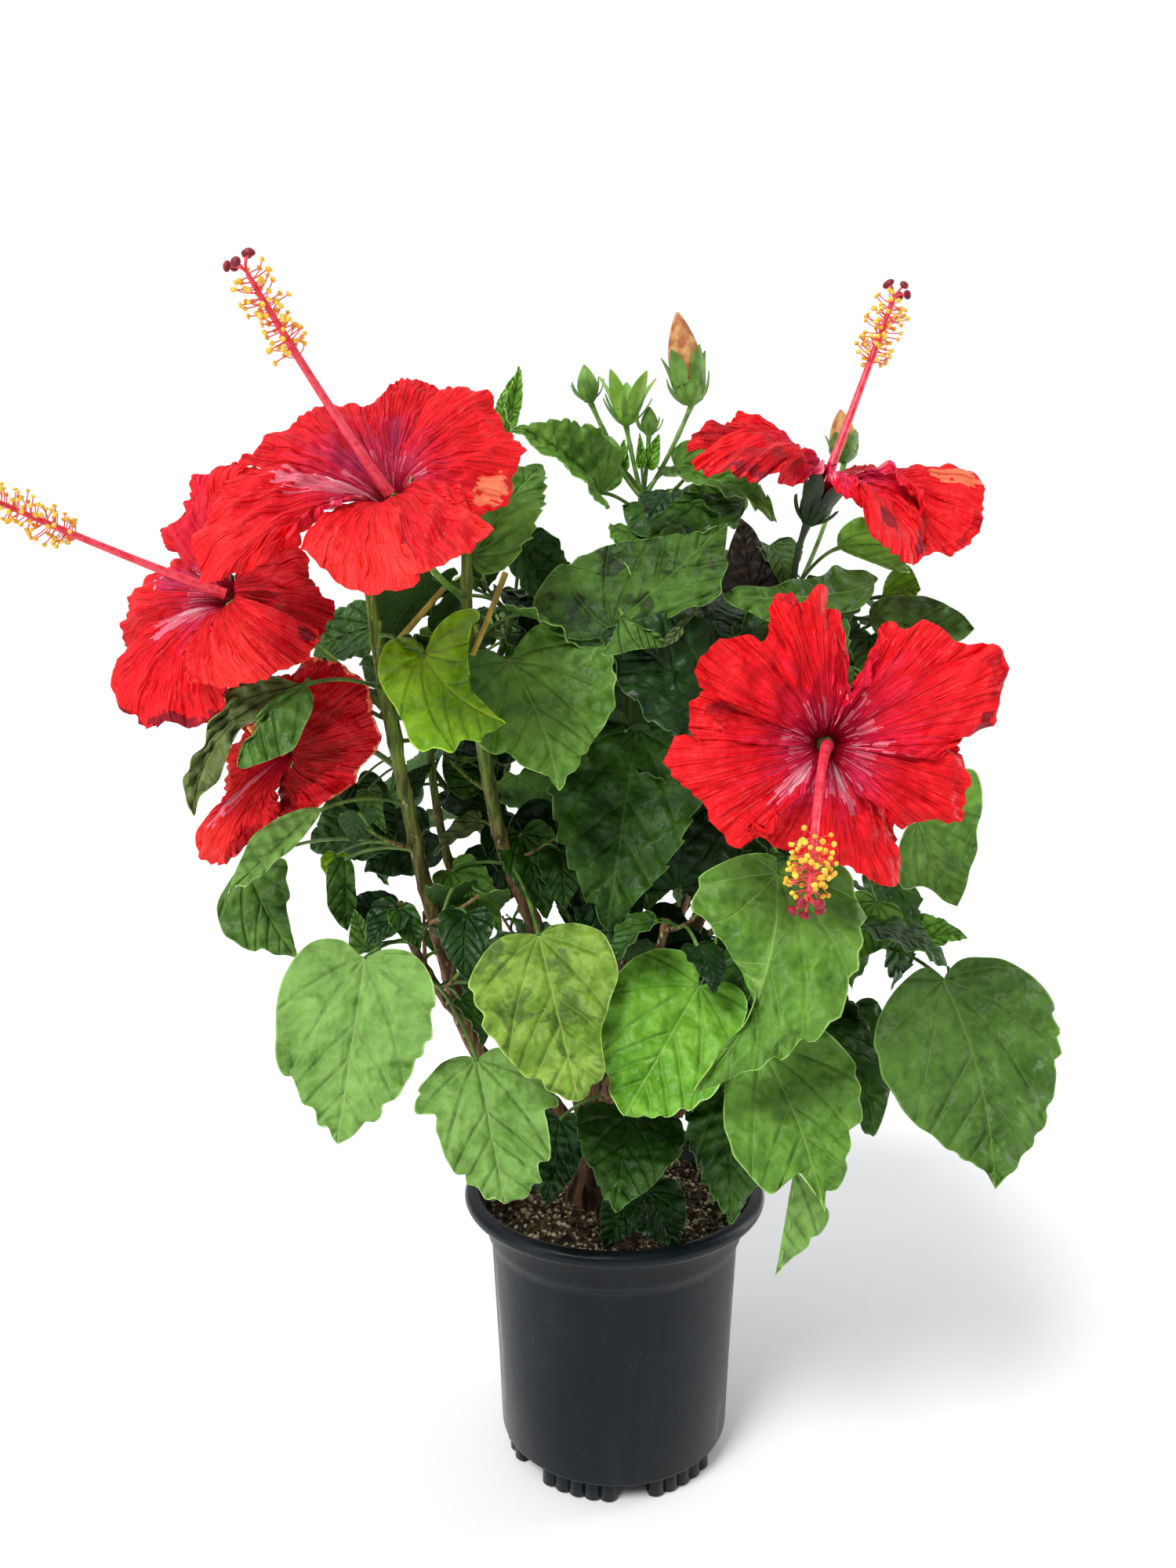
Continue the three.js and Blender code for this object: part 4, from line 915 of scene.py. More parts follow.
def leaf_grid(leaf, chance, size):
    """One leaf as a grid of places. Its margins lie on a plane, and teeth that rise slowly and
    fall fast are set on them, so they point to the tip. The height over that plane sums the
    fold, the arch, the quilt between veins, slow waves, small blisters, a frilled margin and a
    drooping tip. An outlined leaf has its height along the line of sight."""
    rows, columns = size
    base, tip = np.array(leaf["base"], float), np.array(leaf["tip"], float)
    length = np.linalg.norm(tip - base)
    midrib = (tip - base) / length
    face = facing_direction(leaf["facing"])
    face = unit(face - face @ midrib * midrib)
    across = np.cross(midrib, face)
    row = np.linspace(0, 1, rows)
    edge, reach, middle = leaf_margins(leaf, base, length, midrib, face, across, row)
    drawn = "sides" in leaf
    slope = unit(np.gradient(np.stack([edge, reach], -1), axis=0))
    phase = chance.integers(*TEETH) * row + 0.35 * np.sin(6 * row + chance.uniform(0, 6))
    tooth = phase % 1 - 0.5
    uneven = 0.8 + 0.4 * np.sin(2.3 * np.floor(phase) + chance.uniform(0, 6))
    toothed = not drawn and leaf.get("kind") != "tapered"
    depth = TOOTH_DEPTH * min(1, length / TOOTHED_LENGTH) * toothed
    bite = (tooth * uneven * depth * ease(0.1, 0.5, row) * ease(1.0, 0.95, row))[:, None]
    side = np.linspace(-1, 1, columns)[None]
    near, hand = np.abs(side), (side[0] > 0).astype(int)
    lean = 1 + 0.06 * np.sin(chance.uniform(0, 6)) * np.sign(side) * (not drawn)
    out, outer = np.sign(side), near**4
    x = edge[:, hand] * near * lean + bite * slope[:, hand, 1] * outer
    y = middle[:, None] + (reach[:, hand] - middle[:, None]) * near**1.4
    y = y - out * bite * slope[:, hand, 0] * outer
    fold = radians(leaf["fold"])
    crease = np.sqrt(x**2 + CREASE**2) - CREASE
    lift = crease * sin(fold) + leaf["arch"] * 4 * y * (1 - y) * (y > 0)
    quilt = (1 - np.exp(-((vein_gap(x, y) / GROOVE) ** 2))) * QUILT
    a, b, c, d = chance.uniform(0, 2 * pi, 4)
    waves = 0.018 * np.sin(6 * y + a + 3 * x) + 0.016 * np.sin(8 * x + 4 * y + b)
    turns, starts = chance.uniform(0, 2 * pi, (SWELLS, 2)).T
    swells = [np.sin(2 * pi * (x * np.cos(turn) + y * np.sin(turn)) / span + start)
              for turn, start, span in zip(turns, starts, chance.uniform(*SWELL_SPANS, SWELLS))]
    frill = FRILL * near**3 * np.sin(2 * pi * (3.4 * y + 0.25 * out) + c)
    droop = -(DROOP[0] + DROOP[1] * chance.uniform()) * np.clip((y - 0.55) / 0.45, 0, 1) ** 2
    lift = lift + quilt + 0.005 * sum(swells) * ease(0.0, 0.15, np.hypot(x, y)) + droop * (not drawn)
    lift = lift + (waves + frill * ease(0.05, 0.3, row)[:, None]) * ease(0.0, 0.25, np.hypot(x, y))
    roll = radians(leaf.get("roll", 14 * np.sin(d))) * y
    lift = lift + x * np.sin(roll)
    places = np.stack([x / MAP_SCALE + MAP_MIDDLE[0], y / MAP_SCALE + MAP_MIDDLE[1]], -1)
    x = x if drawn else x * np.cos(fold) * np.cos(roll)
    x = x + leaf.get("bend", 0) * 4 * y * (1 - y) * (1 - near)
    rise = unit(EYE - base) if drawn else face
    grid = base + length * (y[..., None] * midrib + x[..., None] * across + lift[..., None] * rise)
    return grid, places


def leaf_rim(size):
    """How near each place of a leaf's grid is to its margin."""
    rows, columns = size
    return np.maximum(np.abs(np.linspace(-1, 1, columns))[None], np.linspace(0, 1, rows)[:, None] ** 3)


print("rows and columns of a shown leaf:", *SHOWN_GRID)

# %% Leaf stalks
PETIOLE_RISE = 0.18


def leaf_stalk(leaf, grid):
    """The stalk from the leaf's root on the wood to its base, bowed upwards by 0.18 of its span
    and a little thicker at both ends."""
    root, base = leaf["root"], np.array(leaf["base"], float)
    span = np.linalg.norm(base - root)
    end = mix(base, grid[len(grid) // 5, grid.shape[1] // 2], 0.3)
    line = bow(root, mix(root, base, 0.55) + UP * PETIOLE_RISE * span, end)
    share = np.linspace(0, 1, 14)
    radius = 0.95 + 0.55 * np.exp(-((share / 0.1) ** 2)) + 0.25 * np.exp(-(((share - 1) / 0.12) ** 2))
    return line.at(share), radius * leaf.get("stalk_size", 1.0)


print("a stalk rises by this share of its span:", PETIOLE_RISE)

# %% Leaves that the front shows
# A row holds the stalk's end, the tip, width, bearing, fold and tone, then an arch and a kind
# where they aren't the usual ones.
# Rows with the deep tone are leaves in shade, whose near-black green is painted shade.
SHOWN_LEAVES = {
    "left_foliage": [
        [[-128, 12, 360], [-172, 10, 345], 50, -20, 10, "dark"],
        [[-131, 6, 466], [-169, 14, 452], 36, 10, 10, "dark"],
    ],
    "upper_left_foliage": [
        [[-72, -56, 500], [-37, -36, 548], 42, 20, 20, "mid", 0.06],
        [[-58, -40, 562], [-48, -42, 591], 13, 10, 10, "bright", 0.04],
        [[-48, -30, 508], [-29, -22, 470], 32, 10, 15, "dark"],
        [[-88, -20, 336], [-60, -42, 310], 28, 0, 15, "mid"],
        [[-73, 4, 381], [-96, 14, 397], 32, -10, 10, "dark"],
        [[-50, -28, 358], [-36, -50, 318], 32, 0, 15, "dark"],
    ],
    "top_foliage": [
        [[-9, -44, 531], [-48, -64, 561], 40, -8, 38, "mid", 0.1],
        [[42, -92, 430], [-6, -97, 465], 62, 0, 12, "deep"],
        [[64, -8, 524], [24, -6, 534], 30, 0, 20, "mid", 0.06],
        [[30, -14, 548], [80, -38, 522], 32, 0, 30, "mid", 0.06],
        [[10, -42, 414], [-6, -82, 320], 76, 0, 8, "dark"],
        [[-13, -34, 344], [-5, -58, 302], 34, 0, 10, "deep"],
    ],
    "right_foliage": [
        [[142, -30, 334], [148, -45, 278], 34, 20, 10, "dark"],
        [[156, -30, 302], [182, -42, 306], 24, 30, 15, "bright"],
        [[32, -44, 332], [40, -38, 392], 64, 0, 8, "deep"],
    ],
    "low_front_foliage": [
        [[6, -60, 216], [-2, -106, 190], 56, 0, 10, "dark", 0.06],
        [[-30, -40, 206], [-36, -60, 168], 34, 0, 10, "deep"],
    ],
    "low_right_foliage": [
        [[121, -50, 270], [125, -66, 226], 34, 10, 10, "dark"],
        [[55, -56, 228], [57, -88, 172], 44, 5, 12, "dark"],
    ],
    "soil_sprout": [
        [[16, -48, 169], [31, -66, 147], 34, 10, 8, "deep"],
        [[11, -48, 168], [-7, -68, 149], 26, -10, 8, "deep"],
    ],
}
print("shown leaves:", sum(len(leaves) for leaves in SHOWN_LEAVES.values()))

# %% [markdown]
# The leaves that stand out in the photograph each have an outline of their own. Their margins
# are kept as readings, column and row by turns, and are laid on the leaf's plane: the left one
# from the stalk's end to the tip, and the right one without those two ends.

# %% High leaves with their own outline
# A row holds the depths of base and tip, bearing, fold, bend, part, tone and both margins.
OUTLINED_LEAVES = {
    "left_foliage": [
        [[-92, -120], 0, 14, 0.2, "leaf", "bronze",
         [390, 874, 368, 868, 342, 862, 302, 874, 288, 884, 288, 903, 267, 922, 262, 950, 247, 963, 243,
          980, 234, 993, 236, 1012, 241, 1030, 247, 1041],
         [378, 882, 350, 900, 327, 918, 305, 932, 290, 965, 279, 995, 268, 1005, 255, 1016]],
        [[-101, -119], 20, 10, 0.1, "flap", "moss",
         [390, 874, 368, 880, 345, 895, 327, 917, 329, 933, 312, 945, 305, 962, 303, 977],
         [399, 887, 398, 906, 389, 925, 375, 954, 353, 965, 329, 974, 312, 980]],
        [[-70, -95], -20, 14, 0.0, "leaf", "pale",
         [408, 1031, 394, 1030, 372, 1036, 345, 1050, 322, 1068, 310, 1092, 300, 1113, 291, 1140],
         [407, 1040, 398, 1053, 383, 1072, 367, 1088, 353, 1096, 337, 1115, 325, 1120, 314, 1130, 303,
          1129]],
        [[10, 0], -10, 8, 0.05, "leaf", "moss",
         [315, 1102, 303, 1110, 290, 1128, 279, 1148, 277, 1162, 281, 1180, 287, 1192, 298, 1199, 310,
          1208, 324, 1213, 335, 1209, 350, 1217, 365, 1218, 380, 1222],
         [328, 1095, 345, 1092, 362, 1096, 367, 1106, 365, 1122, 370, 1143, 365, 1152, 368, 1173, 373,
          1195]],
        [[-32, -46], 10, 16, 0.0, "leaf", "moss",
         [440, 1093, 428, 1094, 419, 1104, 416, 1120, 417, 1140, 418, 1155, 424, 1166, 432, 1178, 443,
          1187],
         [448, 1098, 452, 1110, 453, 1130, 455, 1150, 451, 1168]],
    ],
    "upper_left_foliage": [
        [[-80, -116], 5, 6, -0.05, "leaf", "mid",
         [649, 843, 639, 838, 630, 831, 614, 829, 600, 833, 590, 850, 587, 880, 595, 910, 606, 935, 616,
          952, 632, 962, 641, 957, 655, 965, 663, 974, 682, 982, 699, 989, 706, 1000, 713, 1008],
         [656, 832, 664, 818, 675, 805, 690, 796, 710, 793, 732, 796, 755, 807, 775, 827, 781, 842, 779,
          853, 785, 864, 781, 876, 784, 900, 776, 911, 770, 924, 760, 938, 751, 951, 748, 960, 740, 963,
          739, 973, 733, 982, 722, 988, 720, 998]],
        [[-94, -128], -8, 12, 0.08, "leaf", "lime",
         [541, 834, 537, 824, 526, 815, 508, 813, 492, 822, 485, 840, 483, 860, 492, 884, 505, 902, 515,
          922, 524, 944, 539, 957, 551, 952, 563, 953, 577, 958, 587, 943, 598, 943, 613, 946, 617, 936,
          630, 932, 644, 922],
         [546, 822, 553, 806, 566, 791, 582, 781, 600, 777, 610, 782, 609, 792, 601, 797, 598, 815, 596,
          840, 598, 860, 599, 876, 610, 890, 630, 910]],
        [[-96, -136], 0, 6, 0.0, "leaf", "yellowed",
         [687, 1193, 678, 1191, 650, 1192, 635, 1200, 620, 1213, 605, 1236, 597, 1258, 604, 1266, 606,
          1280, 618, 1294, 615, 1306, 622, 1319, 632, 1326, 642, 1341, 657, 1356, 665, 1368, 672, 1374,
          690, 1376, 697, 1389, 712, 1394, 722, 1401, 738, 1404],
         [705, 1180, 735, 1178, 758, 1184, 772, 1195, 784, 1222, 788, 1245, 782, 1262, 777, 1274, 773,
          1290, 767, 1310, 768, 1340, 771, 1360, 767, 1377, 753, 1384, 752, 1394, 745, 1402]],
    ],
    "top_foliage": [
        [[-84, -84], -6, 6, 0.0, "leaf", "blotched",
         [780, 802, 760, 814, 735, 816, 705, 806, 684, 788, 682, 765, 695, 741, 715, 721, 727, 722, 738,
          711, 752, 707, 766, 700, 780, 696, 795, 691, 814, 690, 833, 687, 853, 684, 866, 681, 874, 686,
          887, 678, 895, 681, 909, 673, 927, 668],
         [800, 794, 820, 789, 851, 789, 877, 775, 896, 773, 907, 767, 919, 757, 918, 745, 921, 736, 928,
          720, 924, 712, 925, 700, 927, 683]],
        [[-92, -100], 0, 30, 0.0, "flap", "moss",
         [792, 784, 786, 800, 779, 816, 768, 834, 785, 834, 810, 828, 838, 826, 850, 824],
         [805, 794, 821, 801, 838, 807, 845, 815]],
        [[-90, -98], 0, 20, 0.0, "flap", "olive",
         [888, 780, 870, 790, 858, 802, 846, 816, 850, 824],
         [880, 790, 871, 800, 871, 808, 862, 818]],
        [[-26, -36], 0, 20, 0.0, "leaf", "dark",
         [950, 640, 952, 630, 940, 622, 910, 630, 879, 627, 853, 624, 836, 634, 823, 641, 808, 640, 794,
          645],
         [948, 655, 936, 668, 915, 674, 896, 676, 870, 682, 845, 684, 822, 684, 806, 677, 797, 660]],
    ],
    "right_foliage": [
        [[-46, -36], 10, 8, 0.0, "leaf", "umber",
         [960, 752, 940, 758, 920, 752, 926, 716, 935, 685, 946, 662],
         [985, 748, 999, 740, 987, 722, 975, 703, 962, 677]],
        [[-60, -92], 0, 20, -0.06, "leaf", "moss",
         [1115, 745, 1120, 738, 1113, 733, 1101, 727, 1080, 727, 1065, 721, 1052, 733, 1029, 739, 1011,
          739, 985, 749, 949, 747, 935, 752, 921, 759],
         [1112, 760, 1095, 776, 1060, 785, 1020, 795, 985, 792, 955, 780, 933, 770]],
        [[-40, -46], 10, 8, 0.0, "leaf", "bright",
         [1068, 698, 1069, 682, 1080, 668, 1098, 660, 1118, 668, 1135, 688, 1148, 705, 1160, 730],
         [1080, 705, 1100, 713, 1121, 721, 1140, 728]],
        [[-40, -50], 10, 8, 0.0, "leaf", "lime",
         [1125, 762, 1129, 742, 1140, 727, 1157, 721, 1167, 734, 1174, 752],
         [1144, 765, 1163, 764]],
        [[-52, -62], 10, 14, 0.05, "leaf", "moss",
         [1110, 790, 1109, 778, 1118, 767, 1132, 761, 1157, 760, 1179, 761, 1197, 767, 1211, 774, 1228,
          784, 1237, 795, 1243, 802],
         [1116, 806, 1135, 818, 1165, 820, 1195, 818, 1222, 818, 1235, 810]],
        [[-62, -82], 15, 10, 0.05, "leaf", "mid",
         [1172, 1048, 1157, 1055, 1147, 1080, 1145, 1110, 1152, 1133, 1175, 1130, 1190, 1136, 1205, 1150,
          1221, 1156],
         [1190, 1010, 1215, 985, 1240, 982, 1250, 1000, 1252, 1030, 1245, 1060, 1246, 1085, 1236, 1110,
          1232, 1130]],
    ],
}
print("high leaves with their own outline:", sum(len(rows) for rows in OUTLINED_LEAVES.values()))

# %% Low leaves with their own outline
OUTLINED_LEAVES |= {
    "low_left_foliage": [
        [[-85, -120], -8, 5, 0.0, "leaf", "pale",
         [465, 1222, 452, 1212, 440, 1201, 420, 1197, 400, 1201, 383, 1214, 368, 1234, 357, 1260, 353,
          1290, 352, 1320, 354, 1350, 362, 1370, 373, 1372, 380, 1390, 386, 1406, 402, 1413, 406, 1434,
          418, 1434, 424, 1450, 430, 1458],
         [475, 1217, 490, 1211, 510, 1211, 525, 1216, 540, 1230, 550, 1250, 554, 1272, 554, 1284, 549,
          1290, 551, 1321, 541, 1329, 539, 1345, 530, 1350, 525, 1370, 515, 1384, 505, 1400, 488, 1407,
          487, 1420, 478, 1430, 467, 1429, 455, 1443, 443, 1452]],
        [[-96, -142], 5, 5, 0.0, "leaf", "pale",
         [608, 1351, 596, 1347, 583, 1348, 565, 1355, 550, 1370, 538, 1383, 533, 1391, 536, 1395, 530,
          1405, 531, 1420, 555, 1421, 556, 1440, 560, 1452, 566, 1470, 575, 1487, 583, 1498, 592, 1492,
          596, 1510, 609, 1513, 620, 1529, 630, 1526, 644, 1535],
         [620, 1342, 636, 1336, 655, 1346, 678, 1366, 697, 1382, 709, 1398, 711, 1411, 694, 1414, 697,
          1430, 701, 1452, 700, 1478, 687, 1480, 686, 1492, 691, 1508, 680, 1508, 676, 1520, 668, 1528,
          656, 1530]],
    ],
    "low_front_foliage": [
        [[-92, -128], 0, 6, 0.0, "leaf", "bright",
         [892, 1257, 892, 1245, 890, 1232, 882, 1221, 870, 1213, 850, 1210, 835, 1211, 820, 1217, 806,
          1225, 790, 1241, 782, 1252, 784, 1262, 777, 1272, 779, 1280, 774, 1292, 768, 1310, 766, 1330,
          770, 1360, 778, 1376, 777, 1390, 784, 1402, 790, 1414, 797, 1422],
         [905, 1254, 920, 1252, 935, 1256, 946, 1264, 952, 1276, 952, 1292, 945, 1312, 938, 1332, 930,
          1350, 922, 1372, 914, 1388, 904, 1400, 894, 1403, 886, 1412, 878, 1416, 870, 1412, 860, 1421,
          850, 1425, 843, 1421, 833, 1426, 822, 1423, 812, 1426]],
    ],
    "low_right_foliage": [
        [[-112, -148], 6, 8, -0.11, "leaf", "mid",
         [991, 1114, 991, 1098, 985, 1091, 965, 1088, 940, 1093, 912, 1106, 892, 1119, 893, 1131, 885,
          1145, 884, 1160, 895, 1167, 907, 1178, 913, 1191, 923, 1199, 937, 1225, 947, 1239, 953, 1257,
          964, 1263, 963, 1272, 958, 1287, 947, 1308, 925, 1330, 908, 1358, 893, 1378, 881, 1397],
         [1002, 1098, 1020, 1090, 1045, 1090, 1070, 1100, 1086, 1118, 1090, 1140, 1098, 1157, 1106, 1172,
          1096, 1182, 1100, 1200, 1093, 1214, 1094, 1234, 1082, 1243, 1080, 1264, 1070, 1292, 1058, 1297,
          1046, 1317, 1035, 1327, 1023, 1321, 1011, 1337, 998, 1348, 986, 1344, 969, 1360, 953, 1364, 935,
          1374, 913, 1385, 892, 1392]],
        [[-106, -142], 5, 8, -0.045, "leaf", "mid",
         [970, 1335, 955, 1332, 938, 1345, 926, 1370, 924, 1400, 924, 1436, 931, 1455, 937, 1472, 950,
          1490, 963, 1506, 982, 1520, 996, 1512, 1007, 1486, 1018, 1492, 1030, 1508, 1042, 1525, 1052,
          1545],
         [985, 1318, 1010, 1308, 1045, 1312, 1065, 1327, 1080, 1343, 1091, 1358, 1089, 1369, 1097, 1387,
          1095, 1401, 1099, 1415, 1097, 1430, 1082, 1437, 1084, 1460, 1077, 1476, 1080, 1488, 1073, 1508,
          1062, 1518, 1054, 1516, 1052, 1530]],
        [[-128, -124], 10, 6, 0.0, "flap", "pale",
         [1013, 1490, 1011, 1520, 1006, 1572, 998, 1600, 989, 1627],
         [1030, 1510, 1045, 1530, 1057, 1545, 1055, 1560, 1045, 1574, 1035, 1578, 1030, 1589, 1013, 1602,
          1001, 1613]],
        [[-84, -126], 12, 5, -0.06, "leaf", "moss",
         [1203, 1250, 1190, 1237, 1178, 1234, 1160, 1245, 1138, 1268, 1121, 1299, 1116, 1330, 1121, 1345,
          1125, 1370, 1135, 1386, 1144, 1398, 1155, 1417, 1171, 1436, 1185, 1444, 1194, 1451, 1207, 1464,
          1219, 1467, 1227, 1476, 1238, 1479, 1246, 1486, 1257, 1494, 1269, 1515],
         [1212, 1235, 1228, 1223, 1250, 1221, 1280, 1224, 1310, 1241, 1330, 1260, 1344, 1284, 1341, 1294,
          1351, 1314, 1346, 1322, 1352, 1342, 1343, 1351, 1346, 1370, 1343, 1398, 1333, 1411, 1334, 1422,
          1330, 1437, 1319, 1446, 1317, 1460, 1303, 1473, 1296, 1489, 1284, 1497]],
    ],
}
print("all leaves with their own outline:", sum(len(rows) for rows in OUTLINED_LEAVES.values()))

# %% [markdown]
# The other leaves follow a seeded rule, as in the solids: a spiral of 137.5 degrees round each
# stem and twig. The rule's draws are repeated here in the same order, and a leaf grows only
# where the packed solid has its tip, so both plants carry the same leaves.

# %% Seeded leaves
SEEDED_LEAVES = {
    "left_foliage": {"seed": 11, "on_stem": 7, "twigs": [[0.35, [-118, 5, 405], 5]]},
    "upper_left_foliage": {"seed": 23, "on_stem": 8, "twigs": [[0.55, [-55, 0, 475], 5]]},
    "top_foliage": {"seed": 37, "on_stem": 9, "twigs": [[0.5, [18, 22, 500], 6]]},
    "right_foliage": {"seed": 41, "on_stem": 9, "twigs": [
        [0.2, [125, -12, 400], 6], [0.6, [112, -22, 470], 3]]},
    "back_left_foliage": {"seed": 53, "on_stem": 10, "twigs": [
        [0.15, [-112, 72, 385], 6], [0.45, [-55, 118, 460], 6]]},
    "back_right_foliage": {"seed": 67, "on_stem": 10, "twigs": [
        [0.15, [108, 78, 380], 6], [0.45, [40, 120, 465], 6]]},
    "low_left_foliage": {"seed": 71, "on_stem": 4, "twigs": []},
    "low_front_foliage": {"seed": 83, "on_stem": 6, "twigs": []},
    "low_right_foliage": {"seed": 97, "on_stem": 7, "twigs": [[0.2, [140, -20, 305], 4]]},
    "low_back_foliage": {"seed": 101, "on_stem": 8, "twigs": [
        [0.05, [-55, 88, 268], 6], [0.15, [62, 92, 275], 6]]},
    "soil_sprout": {"seed": 0, "on_stem": 0, "twigs": []},
}
GOLDEN_TURN = 137.5
TURN_SPREAD = 40
FIRST_SHARE = 0.12


def seeded_run(seed):
    """Numbers from 0 to 1: each state is the last times a large number plus another."""
    while True:
        seed = (seed * 1664525 + 1013904223) % 4294967296
        yield seed / 4294967296


def seeded_leaves(line, count, run, scale=1.0):
    """The spiral of leaves on one line. Stalk and blade shrink towards its tip."""
    draws = np.array([[next(run) for _ in range(5)] for _ in range(count)]).reshape(count, 5)
    turn, stalk, droop, size, crease = draws.T
    order = np.arange(count)
    share = mix(FIRST_SHARE, 1, (order + 0.5) / max(count, 1))
    root, along = line.at(share), line.along(share)
    angle = np.radians(GOLDEN_TURN * order + TURN_SPREAD * turn)
    out = level_way(angle)
    out = unit(out - (out * along).sum(-1, keepdims=True) * along)
    stalk_length = (mix(46, 22, share) * mix(0.75, 1.25, stalk))[:, None] * scale
    base = root + 0.85 * stalk_length * out + 0.5 * stalk_length * along
    flat = unit(out * [1, 1, 0])
    fall = np.radians(mix(15, 65, droop))[:, None]
    length = (mix(84, 50, share) * mix(0.8, 1.2, size))[:, None] * scale
    tip = base + flat * length * np.cos(fall) - UP * length * np.sin(fall)
    return [dict(
        root=root[i], base=base[i], tip=tip[i], width=0.84 * length[i, 0], arch=0.07,
        facing=float(np.degrees(np.arctan2(flat[i, 0], -flat[i, 1]))), fold=mix(4, 24, crease[i]),
    ) for i in range(count)]


print("masses of leaves:", len(SEEDED_LEAVES))

# %% Leaves on their stems
ROOT_CLEARANCE = 9
ROOT_DROP = 12
FLAP_HINGE = np.array([0, 4, 2])
TIP_TOLERANCE = 1.5


def nearest_on(wood, point):
    """The nearest place to a point on some lines, away from the foot of the first."""
    places = np.concatenate([line.at(np.linspace(0, 1, 61)) for line in wood])
    places = places[np.linalg.norm(places - wood[0].at(0), axis=1) > ROOT_CLEARANCE]
    return places[np.argmin(np.linalg.norm(places - point, axis=1))]


def placed_leaf(wood, drop, base, tip, width, facing, fold, tone, arch=0.05, kind="ovate"):
    """A leaf from a table's row. Its stalk leaves the wood nearest to a place below its base."""
    root = nearest_on(wood, np.array(base) - UP * drop)
    return dict(root=root, base=base, tip=tip, width=width, facing=facing, fold=fold, arch=arch,
                kind=kind, tone=tone)


def outlined_leaf(wood, depths, facing, fold, bend, part, tone, left, right):
    """A leaf with sides of its own. The left one begins at its base and ends at its tip, and the
    right one is what lies between them. A flap is a turned part of another leaf, so it hangs
    from a short hinge and not from the wood."""
    base, tip = seen_at(left[:2] + left[-2:], depths)
    leaf = placed_leaf(wood, ROOT_DROP, base, tip, 0, facing, fold, tone, arch=0.04)
    if part == "flap":
        leaf["root"] = base + FLAP_HINGE
    return leaf | {"bend": bend, "roll": 0, "sides": (left, left[:2] + right + left[-2:])}


MASS_TONES = {
    "back_left_foliage": ["dark", "mid", "mid"], "back_right_foliage": ["dark", "mid", "mid"],
    "low_back_foliage": ["dark", "dark", "mid"],
}
foliage, shown_count = {}, {}
for name, plan in SEEDED_LEAVES.items():
    stem = wood_lines[name][0]
    twigs = []
    for at, tip, _ in plan["twigs"]:
        root, tip = stem.at(at), np.array(tip, float)
        twigs.append(sagging(root, tip, 0.55))
    wood_lines[name] += twigs
    run = seeded_run(plan["seed"])
    counts = [plan["on_stem"], *[twig[2] for twig in plan["twigs"]]]
    offered = [leaf for line, count in zip(wood_lines[name], counts)
               for leaf in seeded_leaves(line, count, run)]
    solid = np.array([v.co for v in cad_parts[name].data.vertices]) / MM
    kept = [leaf for leaf in offered
            if np.linalg.norm(solid - leaf["tip"], axis=1).min() < TIP_TOLERANCE]
    tones = MASS_TONES.get(name, ["dark", "mid", "dark"])
    for order, leaf in enumerate(kept):
        leaf["tone"] = tones[order % len(tones)]
    shown = [placed_leaf(wood_lines[name], ROOT_DROP, *row) for row in SHOWN_LEAVES.get(name, [])]
    shown += [outlined_leaf(wood_lines[name], *row) for row in OUTLINED_LEAVES.get(name, [])]
    shown_count[name] = len(shown)
    foliage[name] = shown + kept
    print(f"{name}: {len(shown)} shown leaves, {len(kept)} of {len(offered)} seeded ones")
